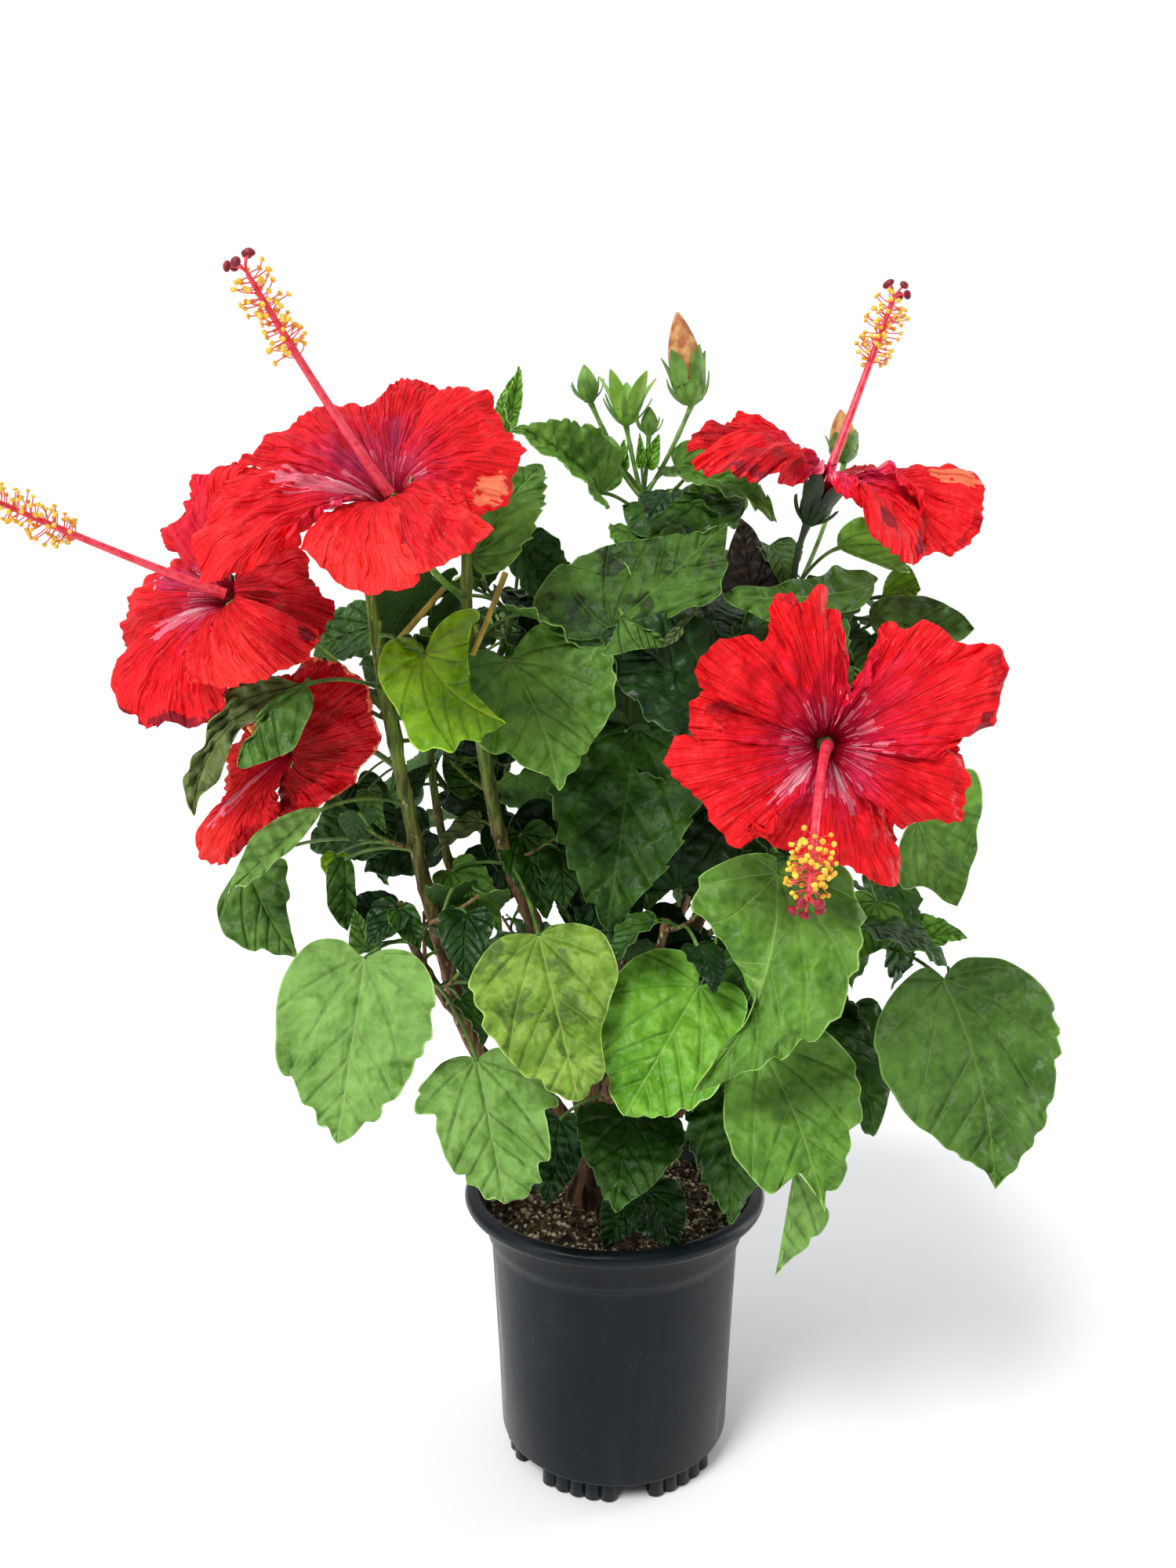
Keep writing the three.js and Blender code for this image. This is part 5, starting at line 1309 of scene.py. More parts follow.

# %% [markdown]
# Between those leaves the photograph is dark with small ones, and it shows the sky in a few
# places. Finer twigs grow from each stem and twig by the same rule at half its size. A leaf on
# them stays if it is seen inside the crown's outline and outside the gaps of sky.

# %% Small leaves that the front shows
# The rows are those of the shown leaves, and an extra limb is its points, radii and finish.
# Most of these small leaves take the deep tone, a painted shade for leaves inside the crown.
BETWEEN_LEAVES = {
    "left_foliage": [
        [[-140, -8, 382], [-119, -14, 349], 25, -10, 8, "deep"],
        [[-130, -30, 381], [-121, -34, 359], 15, -20, 15, "moss", 0.05, "tapered"],
        [[-113, -20, 378], [-98, -18, 394], 15, 10, 10, "deep", 0.05, "tapered"],
        [[-149, -20, 345], [-151, -24, 331], 17, -10, 10, "lime"],
        [[-104, 14, 352], [-140, 4, 332], 44, -5, 8, "deep"],
    ],
    "upper_left_foliage": [
        [[-68, 2, 367], [-102, 8, 373], 26, 0, 10, "deep"],
        [[-63, 10, 390], [-95, 14, 397], 28, 0, 8, "deep"],
        [[-56, -2, 363], [-36, -8, 316], 47, 0, 8, "deep"],
        [[-73, -12, 362], [-99, -16, 345], 16, -20, 25, "olive", 0.05, "tapered"],
        [[-63, 8, 335], [-85, 2, 310], 39, 0, 8, "deep"],
        [[-28, 20, 409], [-6, 10, 375], 57, 0, 8, "deep"],
        [[-54, -50, 559], [-57, -52, 579], 11, -40, 30, "bright", 0.02, "tapered"],
        [[-52, -52, 569], [-48, -54, 590], 9, 20, 30, "bright", 0.02, "tapered"],
    ],
    "top_foliage": [
        [[7, 25, 378], [-11, 15, 330], 53, 0, 8, "deep"],
        [[-11, -10, 326], [6, -18, 293], 43, 0, 8, "deep"],
        [[15, -30, 546], [21, -30, 562], 11, 15, 30, "bright", 0.02, "tapered"],
        [[12, -32, 546], [11, -33, 562], 6, 0, 30, "bright", 0.02, "tapered"],
        [[2, -30, 545], [3, -32, 559], 10, -10, 30, "bright", 0.02, "tapered"],
        [[-3, -34, 548], [-9, -38, 561], 8, -20, 30, "bright", 0.02, "tapered"],
    ],
    "right_foliage": [
        [[91, -20, 306], [73, -26, 273], 34, 0, 8, "deep"],
        [[132, -52, 326], [118, -60, 298], 30, 5, 10, "mid"],
    ],
    "low_left_foliage": [
        [[-97, -6, 302], [-68, -12, 278], 26, 0, 12, "dark"],
        [[-125, -66, 306], [-132, -64, 325], 16, -10, 20, "moss", 0.03, "tapered"],
        [[-123, -68, 305], [-118, -70, 321], 10, 10, 20, "moss", 0.03, "tapered"],
        [[-119, -30, 313], [-143, -34, 322], 25, -15, 20, "deep"],
        [[-115, -40, 318], [-105, -44, 308], 11, 0, 15, "moss", 0.05, "tapered"],
        [[-108, -72, 327], [-122, -79, 311], 22, -10, 20, "deep"],
        [[-108, -72, 327], [-97, -79, 309], 16, 10, 20, "dark"],
        [[-62, -10, 277], [-80, -16, 244], 39, 0, 8, "deep"],
    ],
    "low_front_foliage": [
        [[48, -20, 298], [31, -30, 262], 38, 0, 8, "deep"],
        [[15, -5, 303], [41, -12, 278], 39, 0, 8, "deep"],
        [[-28, 0, 247], [-41, -8, 209], 44, 0, 8, "deep"],
        [[47, -62, 294], [49, -66, 311], 6, 0, 30, "bright", 0.02, "tapered"],
        [[47, -62, 294], [58, -68, 306], 6, 20, 30, "bright", 0.02, "tapered"],
    ],
    "low_right_foliage": [
        [[59, -10, 242], [76, -18, 209], 43, 0, 8, "deep"],
    ],
}
EXTRA_LIMBS = {
    "left_foliage": [
        [[[-79, -14, 276], [-84, -12, 304], [-89, -9, 330], [-96, -5, 360], [-101, -2, 396],
          [-102, 2, 426]], [2.6, 2.0], 1],
        [[[-109, -55, 458], [-97, -58, 471], [-85, -60, 484]], [1.7, 1.4], 2],
    ],
    "upper_left_foliage": [[[[-68, -96, 452], [-61, -87, 470], [-54, -78, 490]], [1.3, 1.5], 2]],
}
print("small shown leaves:", sum(len(leaves) for leaves in BETWEEN_LEAVES.values()))

# %% The crown's outline
SIGHT_PLANE = -40
LOWEST_TIP = 165
CROWN_OUTLINE = [
    [-90, 491], [-70, 508], [-35, 504], [-3, 527], [28, 537], [67, 524], [123, 504], [163, 469],
    [166, 385], [164, 340], [141, 286], [130, 248], [73, 200], [-11, 200], [-77, 248], [-109, 290],
    [-141, 332], [-148, 385], [-135, 434], [-114, 465],
]
SKY_GAPS = [
    [-35, 508, 8, 548], [-90, 495, -72, 506], [-146, 390, -131, 412], [-111, 350, -89, 410],
    [-88, 345, -71, 375], [-52, 362, -34, 388], [-158, 312, -103, 350], [-115, 292, -100, 319],
    [57, 275, 73, 290],
]


def seen_place(points):
    """Where the line from the camera through each point meets the upright plane at -40."""
    ray = points - EYE
    return (EYE + ray * ((SIGHT_PLANE - EYE[1]) / ray[..., 1:2]))[..., [0, 2]]


def inside_outline(places):
    """Whether each place is inside the outline: a level line from it crosses it an odd number
    of times."""
    outline = np.array(CROWN_OUTLINE, float)
    x, z = places[..., :1], places[..., 1:]
    (ax, az), (bx, bz) = outline.T, np.roll(outline, -1, 0).T
    crosses = ((az > z) != (bz > z)) & (x < (bx - ax) * (z - az) / (bz - az + 1e-9) + ax)
    return crosses.sum(-1) % 2 == 1


def keeps_to_crown(leaf):
    """True if the base, tip, middle and both sides of a leaf are seen inside the outline, none of
    them over a gap of sky, and the tip is above the pot."""
    base, tip = np.array(leaf["base"], float), np.array(leaf["tip"], float)
    beside = unit(np.cross(tip - base, facing_direction(leaf["facing"]))) * leaf["width"] / 2
    middle = mix(base, tip, 0.4)
    places = seen_place(np.stack([base, tip, middle, middle + beside, middle - beside]))
    gaps = np.array(SKY_GAPS, float)
    over = ((places[:, None] > gaps[None, :, :2]) & (places[:, None] < gaps[None, :, 2:])).all(-1)
    return inside_outline(places).all() and not over.any() and tip[2] > LOWEST_TIP


print("corners of the crown's outline:", len(CROWN_OUTLINE))

# %% Finer twigs
SMALL_ROOT_DROP = 6
SMALL_STALK = 0.7
FINE_TWIGS = 5
FINE_SHARES = (0.08, 0.96)
FINE_LEAVES = 4
FINE_SCALE = 0.46
FINE_REACH = (22, 44)
# The deep tones among these are painted shade for the small leaves inside the crown.
FINE_TONES = ["deep", "dark", "deep", "moss", "dark"]
FINE_SEED = 200
FINE_SEED_STEP = 1000

fine_twigs, fine_foliage = {}, {}
for number, (name, plan) in enumerate(SEEDED_LEAVES.items()):
    chance = np.random.default_rng(FINE_SEED + number)
    run = seeded_run(plan["seed"] + FINE_SEED_STEP)
    twigs, leaves = [], []
    for line in wood_lines[name] if plan["on_stem"] else []:
        share = np.linspace(*FINE_SHARES, FINE_TWIGS)
        root, along = line.at(share), line.along(share)
        turn = np.radians(GOLDEN_TURN * np.arange(FINE_TWIGS) + chance.uniform(0, 360))
        out = level_way(turn)
        end = root + unit(out + 0.5 * along) * chance.uniform(*FINE_REACH, (FINE_TWIGS, 1))
        for a, b in zip(root, end):
            twig = sagging(a, b, 0.5)
            offered = seeded_leaves(twig, FINE_LEAVES, run, FINE_SCALE)
            grown = [leaf for leaf in offered if keeps_to_crown(leaf)]
            if grown:
                twigs.append(twig)
                leaves += grown
    for order, leaf in enumerate(leaves):
        leaf["tone"] = FINE_TONES[order % len(FINE_TONES)]
    for row in BETWEEN_LEAVES.get(name, []):
        leaf = placed_leaf(wood_lines[name] + twigs, SMALL_ROOT_DROP, *row)
        leaves.append(leaf | {"stalk_size": SMALL_STALK})
    fine_twigs[name], fine_foliage[name] = twigs, leaves
print("finer twigs and leaves:", sum(map(len, fine_twigs.values())), sum(map(len, fine_foliage.values())))

# %% Foliage
FOLIAGE_SEED = 1
STALK_SIDES = 8
TWIG_RADII = [2.4, 1.6]
FINE_TWIG_RADII = [1.3, 0.8]


def grow(leaves, size, blades, stalks, chance):
    """Adds leaves of one grid size, and their stalks, to what is gathered."""
    grids, places = (np.stack(each) for each in zip(*[leaf_grid(leaf, chance, size) for leaf in leaves]))
    upper = np.array([2 * TONES.index(leaf["tone"]) for leaf in leaves])
    sheets(grids, LEAF_SKIN, places, blades, upper, upper + 1, leaf_rim(size))
    paths, radii = (np.stack(each) for each in zip(*[
        leaf_stalk(leaf, grid) for leaf, grid in zip(leaves, grids)]))
    tubes(paths, radii, STALK_SIDES, stalks)


for number, (name, leaves) in enumerate(foliage.items()):
    chance = np.random.default_rng(FOLIAGE_SEED + number)
    blades, stalks = Gathered(), Gathered()
    shown = shown_count[name]
    for some, size in ((leaves[:shown], SHOWN_GRID), (leaves[shown:], SEEDED_GRID),
                       (fine_foliage[name], FINE_GRID)):
        if some:
            grow(some, size, blades, stalks, chance)
    for order, line in enumerate(wood_lines[name][1:]):
        limb(line, TWIG_RADII, stalks, seed=order, kind=1)
    for order, line in enumerate(fine_twigs[name]):
        limb(line, FINE_TWIG_RADII, stalks, seed=order, kind=1)
    if name == "soil_sprout":
        limb(lines["sprout"], STEMS["sprout"]["radii"], stalks, kind=1)
    for line, radii, kind in EXTRA_LIMBS.get(name, []):
        limb(line_through(line), radii, stalks, kind=kind)
    label = "sprout_foliage" if name == "soil_sprout" else name
    blades.piece(label.replace("foliage", "leaves"), LEAF_FINISHES, "foliage", name)
    stalks.piece(label.replace("foliage", "stalks"), [LEAF_STALK, STEM_BARK, CUT_STALK], "foliage")

# %% [markdown]
# A bloom has five petals that overlap like a fan. Each is a sheet on a bowed middle line: it
# starts deep in the throat, swells, and ends in a wavy margin. Plain tones follow each other on
# it face by face: a deep red eye, pink, scarlet, and a dark fringe where the bloom is old. Some
# tones are painted light and shade: a dark red and a shaded red for petals in shadow, painted
# orange light where light shines through a margin, and a near-white sheen by the column that
# is partly a painted highlight.

# %% Petal finishes
def petal_finish(name, deep, light, roughness=0.44):
    """One tone of a petal: fine threads along it and clouds across it, between two close colours."""
    material, place, surface = begin(name)
    threads = surface.stretched(64.0, 2.4, 1.0).noise(1.0, 2.0)
    veins = surface.stretched(24.0, 1.5, 1.0).noise(1.0, 3.0, 0.6)
    clouds = place.noise(60.0, 3.0)
    wrinkles = place.noise(170.0, 2.0)
    shade = threads.between(0.3, 0.52) * 0.42 + veins.between(0.36, 0.56) * 0.3
    shade = shade + clouds.between(0.34, 0.6) * 0.14 + wrinkles.between(0.34, 0.6) * 0.14
    height = threads * 0.7 + veins * 1.2 + clouds * 0.9 + wrinkles * 0.6
    return finish(material, place, shade.blend(deep, light), roughness, height, 0.0034,
                  Specular_IOR_Level=0.18)


PETAL_TONES = {
    "throat": ((0.26, 0.0, 0.008), (0.48, 0.001, 0.02)),
    "eye": ((0.42, 0.0005, 0.016), (0.7, 0.004, 0.045)),
    "magenta": ((0.5, 0.003, 0.035), (0.84, 0.03, 0.1)),
    "rose": ((0.56, 0.001, 0.015), (0.86, 0.01, 0.04)),
    "scarlet": ((0.52, 0.0004, 0.003), (0.86, 0.005, 0.014)),
    "bright": ((0.6, 0.0008, 0.004), (0.92, 0.011, 0.016)),
    "coral": ((0.7, 0.003, 0.006), (0.95, 0.03, 0.024)),
    "shaded": ((0.24, 0.0002, 0.002), (0.6, 0.001, 0.007)),
    # Painted shade: the dark red tone below stands for a red petal that lies in shadow.
    "crimson": ((0.12, 0.0, 0.0004), (0.44, 0.0005, 0.002)),
    "mauve": ((0.4, 0.006, 0.045), (0.64, 0.03, 0.11)),
    "fringe": ((0.1, 0.001, 0.006), (0.34, 0.004, 0.016)),
    "pale": ((0.8, 0.04, 0.1), (0.93, 0.22, 0.3)),
    # The near-white sheen tone below is partly a painted highlight on pale pink petal bases by the column;
    # further out on a petal it gives real white spots of damage.
    "sheen": ((0.9, 0.2, 0.28), (0.96, 0.6, 0.66)),
    # Painted light: the orange tone below stands for light shining through a petal's margin.
    "rim_orange": ((0.86, 0.05, 0.02), (0.98, 0.25, 0.12)),
}
PETAL_FINISHES = [petal_finish(f"petal_{name}", *pair) for name, pair in PETAL_TONES.items()]
print("petal finishes:", len(PETAL_FINISHES))

# %% Petal zones
PETAL_ROWS = 54
PETAL_COLUMNS = 57
THROAT_ZONES = [[0, "throat"], [0.1, "eye"], [0.2, "magenta"], [0.36, "rose"]]
PETAL_ZONES = {
    "scarlet": ([*THROAT_ZONES, [0.5, "scarlet"], [0.7, "bright"]], "bright", 0.02),
    "dusky": ([[0, "throat"], [0.15, "eye"], [0.3, "rose"], [0.5, "scarlet"], [0.72, "bright"]],
              "fringe", 0.004),
    "pink": ([[0, "throat"], [0.07, "eye"], [0.15, "magenta"], [0.5, "rose"], [0.66, "scarlet"]],
             "bright", 0.03),
    "coral": ([[0, "eye"], [0.08, "rose"], [0.18, "scarlet"], [0.32, "bright"], [0.6, "coral"]],
              "coral", 0.02),
    "shaded": ([[0, "eye"], [0.2, "scarlet"], [0.3, "shaded"]], "fringe", 0.004),
    # Painted shade and light: this look is a red petal in shadow, with painted orange light where light
    # shines through its margin.
    "crimson": ([[0, "rose"], [0.12, "crimson"], [0.66, "shaded"]], "rim_orange", 0.02),
    "bruised": ([*THROAT_ZONES, [0.5, "scarlet"], [0.76, "bright"]], "fringe", 0.008),
}
ZONE_JITTER = 0.1
STREAK_WAVES = ((9, 1, 0.3), (17, 2, 0.3), (31, 4, 0.25), (57, 7, 0.2), (83, 31, 0.15))
THREAD_ROWS = 6
THREAD_SHARE = 0.8
PATCH_JITTER = 0.55
PATCH_EDGE = 0.9
PALE_STREAKS = (0.13, 0.36, 0.5)
WITHOUT_STREAKS = ("crimson", "shaded", "coral")
MARGIN_STARTS = 0.5


def petal_kinds(petal, reach, chance):
    """Finish numbers for the faces of a petal. Zones follow each other outwards, spots have a
    tone of their own, and sines and single threads move all borders, so they end in streaks."""
    rows, columns = PETAL_ROWS - 1, PETAL_COLUMNS - 1
    share = (np.arange(rows)[:, None] + 0.5) / rows
    side = (np.arange(columns)[None] + 0.5) / columns * 2 - 1
    streak = sum(size * np.sin(over * side + along * share + chance.uniform(0, 2 * pi))
                 for over, along, size in STREAK_WAVES)
    threads = chance.uniform(-1, 1, (rows // THREAD_ROWS + 1, columns)).repeat(THREAD_ROWS, 0)[:rows]
    streak = streak + THREAD_SHARE * threads
    far = share * (reach[None, 1:] + reach[None, :-1]) / 2
    look, _, _, _, _, *patches = petal
    zones, margin, margin_width = PETAL_ZONES[look]
    names = list(PETAL_TONES)
    kinds = np.zeros((rows, columns), int)
    for start, name in zones:
        kinds[far + ZONE_JITTER * streak > start] = names.index(name)
    low, high, level = PALE_STREAKS
    if look not in WITHOUT_STREAKS:
        kinds[(far > low) & (far < high) & (streak > level)] = names.index("pale")
    # Sheen spots by the column are partly a painted highlight, and orange spots at a margin are painted
    # light through the petal.
    for along, aside, length, width, name in patches:
        near = ((share - along) / length) ** 2 + ((side - aside) / width) ** 2
        kinds[near + PATCH_JITTER * streak < PATCH_EDGE] = names.index(name)
    kinds[(share > 1 - margin_width * (1 + streak)) & (far > MARGIN_STARTS)] = names.index(margin)
    return kinds


print("looks of a petal:", len(PETAL_ZONES))

# %% Places of the blooms
BLOOMS = {
    "top_left": {"heart": [-104, -125, 529], "axis": [-0.35, -0.5, 0.8], "tip": [-153, -152, 608],
                 "rise": -0.025, "stem": "middle", "root": 0.93},
    "left": {"heart": [-195, -75, 484], "axis": [-0.6, -0.72, 0.35], "tip": [-285, -105, 523],
             "rise": -0.01, "stem": "left", "root": 0.8},
    "upper_right": {"heart": [101, -70, 541], "axis": [0.38, -0.1, 0.92], "tip": [132, -56, 624],
                    "rise": 0, "stem": "right", "root": 0.97},
    "front_right": {"heart": [87, -150, 415], "axis": [0, -0.97, 0.1], "tip": [66, -216, 362],
                    "rise": 0.13, "stem": "right", "root": 0.8, "brush": (0.7, 0.94)},
    "low_left": {"heart": [-178, -45, 400], "axis": [-0.6, -0.7, -0.2], "tip": [-172, -66, 418],
                 "rise": 0, "stem": "left", "root": 0.72},
}
print("blooms:", len(BLOOMS))

# %% Outlines of the high blooms' petals
# A petal's row holds its zones, ruffle, swell, depths and the readings of its margin, then patches
# of another tone: their place along and across it, half their length and width, and the tone.
PETALS = {
    "top_left": [
        ["scarlet", 3, 6, [-85, -95, -132],
         [552, 500, 566, 487, 590, 491, 612, 499, 630, 507, 636, 526, 646, 545, 669, 571, 661, 586, 657,
          615, 647, 640, 626, 650, 610, 644],
         # Painted light: an orange spot at this margin, where light shines through the petal.
         [0.88, 0.62, 0.1, 0.22, "rim_orange"]],
        ["pink", 2, 2, [-88, -78, -84],
         [452, 522, 470, 511, 499, 497, 504, 487, 518, 483, 546, 486, 562, 493, 582, 506],
         [0.5, 0.15, 0.16, 0.25, "mauve"]],
        ["pink", 2, 5, [-118, -98, -86],
         [296, 592, 312, 575, 335, 558, 360, 546, 386, 534, 400, 522, 425, 514, 450, 508, 470, 512, 494,
          522],
         [0.42, -0.1, 0.14, 0.3, "mauve"]],
        ["scarlet", 3, 16, [-118, -155, -150],
         [302, 598, 277, 612, 260, 642, 248, 682, 247, 708, 256, 736, 270, 744, 300, 732, 335, 718, 357,
          702, 363, 683, 378, 676, 402, 652],
         # Painted highlight: the sheen spot, and partly the pale spot beside it, stand for gloss on the
         # petal's pale pink base.
         [0.3, -0.85, 0.22, 0.25, "sheen"], [0.4, -0.7, 0.25, 0.3, "pale"]],
        ["coral", 2, 9, [-160, -188, -140],
         [376, 688, 392, 704, 412, 721, 446, 750, 466, 756, 488, 756, 524, 744, 523, 731, 548, 726, 566,
          713, 592, 706, 613, 691, 628, 669, 611, 652, 606, 620],
         [0.8, 0.25, 0.3, 0.35, "scarlet"]],
    ],
    "left": [
        ["bruised", 4, 4, [-42, -50, -68],
         [224, 708, 207, 690, 207, 672, 223, 664, 229, 650, 250, 618, 264, 603, 278, 594, 300, 588, 330,
          592],
         [0.7, -0.2, 0.3, 0.6, "rose"]],
        ["shaded", 3, 4, [-92, -98, -78],
         [396, 826, 413, 802, 425, 782, 412, 758, 396, 738, 387, 702, 362, 678]],
        ["bruised", 2, 5, [-66, -38, -30],
         [166, 836, 154, 816, 153, 800, 159, 779, 173, 756, 183, 742, 198, 732, 211, 711, 224, 700],
         [0.5, 0.5, 0.25, 0.45, "mauve"], [0.86, 0.5, 0.035, 0.1, "sheen"],
         [0.72, 0.25, 0.03, 0.06, "sheen"]],
        ["bruised", 4, 12, [-55, -86, -104],
         [162, 820, 143, 844, 134, 858, 139, 873, 151, 897, 180, 921, 200, 928, 213, 921, 241, 928, 266,
          920, 285, 905, 289, 887, 278, 866],
         # Painted highlight: the sheen spot, and partly the pale spot round it, stand for gloss on the
         # petal's pale pink base.
         [0.36, -0.55, 0.2, 0.2, "pale"], [0.3, -0.6, 0.12, 0.1, "sheen"],
         [0.97, 0.3, 0.04, 0.3, "fringe"]],
        ["coral", 2, 10, [-97, -118, -112],
         [229, 846, 237, 865, 265, 874, 297, 876, 330, 867, 360, 855, 388, 840, 405, 812, 400, 798],
         [0.82, 0.7, 0.25, 0.4, "scarlet"], [0.93, 0.86, 0.05, 0.1, "fringe"]],
    ],
    "upper_right": [
        ["scarlet", 3, 8, [-62, -45, -40],
         [872, 571, 876, 560, 887, 548, 903, 540, 921, 538, 936, 530, 951, 527, 958, 541, 968, 553, 1000,
          562],
         [0.9, -0.6, 0.2, 0.3, "shaded"]],
        ["scarlet", 3, 4, [-20, -8, -20],
         [1090, 600, 1125, 603, 1165, 612]],
        ["scarlet", 3, 4, [-104, -92, -58],
         [1182, 655, 1181, 702, 1200, 703, 1216, 709, 1231, 700, 1243, 684, 1253, 660, 1256, 627, 1246,
          600, 1230, 598, 1200, 601, 1165, 609],
         # Painted light: an orange spot at this margin, where light shines through the petal.
         [0.85, 0.4, 0.2, 0.16, "rim_orange"], [0.97, -0.2, 0.03, 0.2, "shaded"]],
        ["scarlet", 5, 26, [-84, -112, -86],
         [879, 574, 885, 590, 893, 597, 922, 598, 932, 607, 955, 613, 970, 613, 991, 603, 1002, 617, 1018,
          621, 1036, 611, 1047, 600],
         [0.96, -0.1, 0.04, 0.4, "fringe"], [0.84, -0.1, 0.1, 0.6, "shaded"]],
        ["scarlet", 5, 16, [-92, -132, -92],
         [1053, 608, 1066, 620, 1085, 632, 1098, 645, 1102, 662, 1110, 680, 1125, 691, 1137, 697, 1147,
          708, 1165, 719, 1176, 711, 1179, 690, 1181, 656, 1140, 618],
         [0.8, 0.0, 0.07, 0.12, "fringe"], [0.96, 0.35, 0.05, 0.16, "fringe"]],
    ],
}
print("petals of the high blooms:", sum(len(petals) for petals in PETALS.values()))

# %% Outlines of the other petals
PETALS |= {
    "front_right": [
        ["scarlet", 3, 6, [-146, -152, -142],
         [935, 1045, 966, 1064, 1005, 1086, 1040, 1100, 1080, 1108, 1112, 1125, 1135, 1131, 1148, 1128,
          1151, 1100, 1147, 1066, 1150, 1035],
         # Painted highlight: the sheen spot, and partly the pale spot round it, stand for gloss on the
         # petal's pale pink base.
         [0.36, 0.16, 0.2, 0.18, "pale"], [0.3, 0.12, 0.1, 0.08, "sheen"]],
        ["scarlet", 4, 9, [-150, -152, -162],
         [903, 868, 889, 881, 878, 904, 881, 934, 882, 948, 861, 944, 853, 960, 854, 980, 875, 1009, 894,
          1023, 916, 1062, 935, 1079, 949, 1080, 974, 1055],
         # Painted highlight: the sheen spot, and partly the pale spot round it, stand for gloss on the
         # petal's pale pink base.
         [0.4, 0.62, 0.22, 0.14, "pale"], [0.36, 0.72, 0.14, 0.07, "sheen"],
         [0.8, -0.75, 0.1, 0.15, "shaded"]],
        ["dusky", 5, 9, [-162, -152, -150],
         [893, 876, 887, 852, 897, 838, 906, 821, 921, 810, 942, 806, 962, 809, 972, 816, 981, 804, 984,
          780, 990, 764, 1010, 752, 1024, 766, 1036, 755, 1055, 751, 1058, 767, 1078, 780, 1091, 812,
          1086, 828],
         [0.95, 0.2, 0.05, 0.12, "shaded"]],
        ["scarlet", 3, 10, [-156, -162, -156],
         [1117, 1036, 1132, 1054, 1147, 1062, 1165, 1058, 1186, 1049, 1210, 1048, 1230, 1045, 1237, 1020,
          1239, 990, 1237, 962, 1231, 948, 1212, 932],
         # Painted highlight: the sheen spot, and partly the pale spot round it, stand for gloss on the
         # petal's pale pink base.
         [0.42, 0.72, 0.26, 0.14, "pale"], [0.36, 0.8, 0.16, 0.07, "sheen"]],
        ["dusky", 4, 10, [-164, -156, -150],
         [1205, 966, 1233, 946, 1255, 930, 1269, 925, 1271, 903, 1283, 864, 1277, 838, 1268, 820, 1238,
          820, 1213, 814, 1196, 799, 1177, 791, 1152, 801, 1146, 793, 1133, 790, 1121, 797, 1120, 828,
          1106, 845, 1091, 856],
         [0.95, -0.3, 0.05, 0.12, "shaded"], [0.6, 0.35, 0.2, 0.1, "rose"],
         [0.94, -0.62, 0.04, 0.1, "fringe"]],
    ],
    "low_left": [
        ["scarlet", 3, 4, [-52, -46, -44],
         [306, 925, 322, 896, 350, 866, 384, 850]],
        ["coral", 3, 4, [-30, -26, -26],
         [279, 1020, 281, 1003, 285, 980, 300, 946, 318, 912]],
        # Painted shade: this petal lies in shadow, and its margin carries painted light shining through it.
        ["crimson", 3, -6, [-50, -62, -48],
         [378, 843, 402, 842, 426, 846, 447, 856, 465, 872, 474, 896, 483, 934, 482, 955, 474, 966, 459,
          980, 450, 996, 420, 1020, 386, 1037, 352, 1045],
         [0.85, 0.55, 0.22, 0.3, "scarlet"]],
        ["coral", 3, 14, [-30, -30, -52],
         [290, 1000, 273, 1035, 257, 1058, 249, 1076, 253, 1092, 267, 1105, 285, 1103, 304, 1088, 328,
          1073, 348, 1059, 353, 1038],
         [0.4, -0.3, 0.3, 0.12, "pale"], [0.9, 0.5, 0.12, 0.4, "shaded"]],
    ],
}
print("all petals:", sum(len(petals) for petals in PETALS.values()))

# %% Petals
THROAT_DEPTH = 16
THROAT_RADIUS = 3
THROAT_MOUTH = (9, 2)
LAYER = 0.4
SWELL_SHARE = 0.6
PETAL_CUP = 4
PETAL_SKIN = 0.5
CRUMPLE = 0.9
CRUMPLES = 9
PETAL_SEED = 40


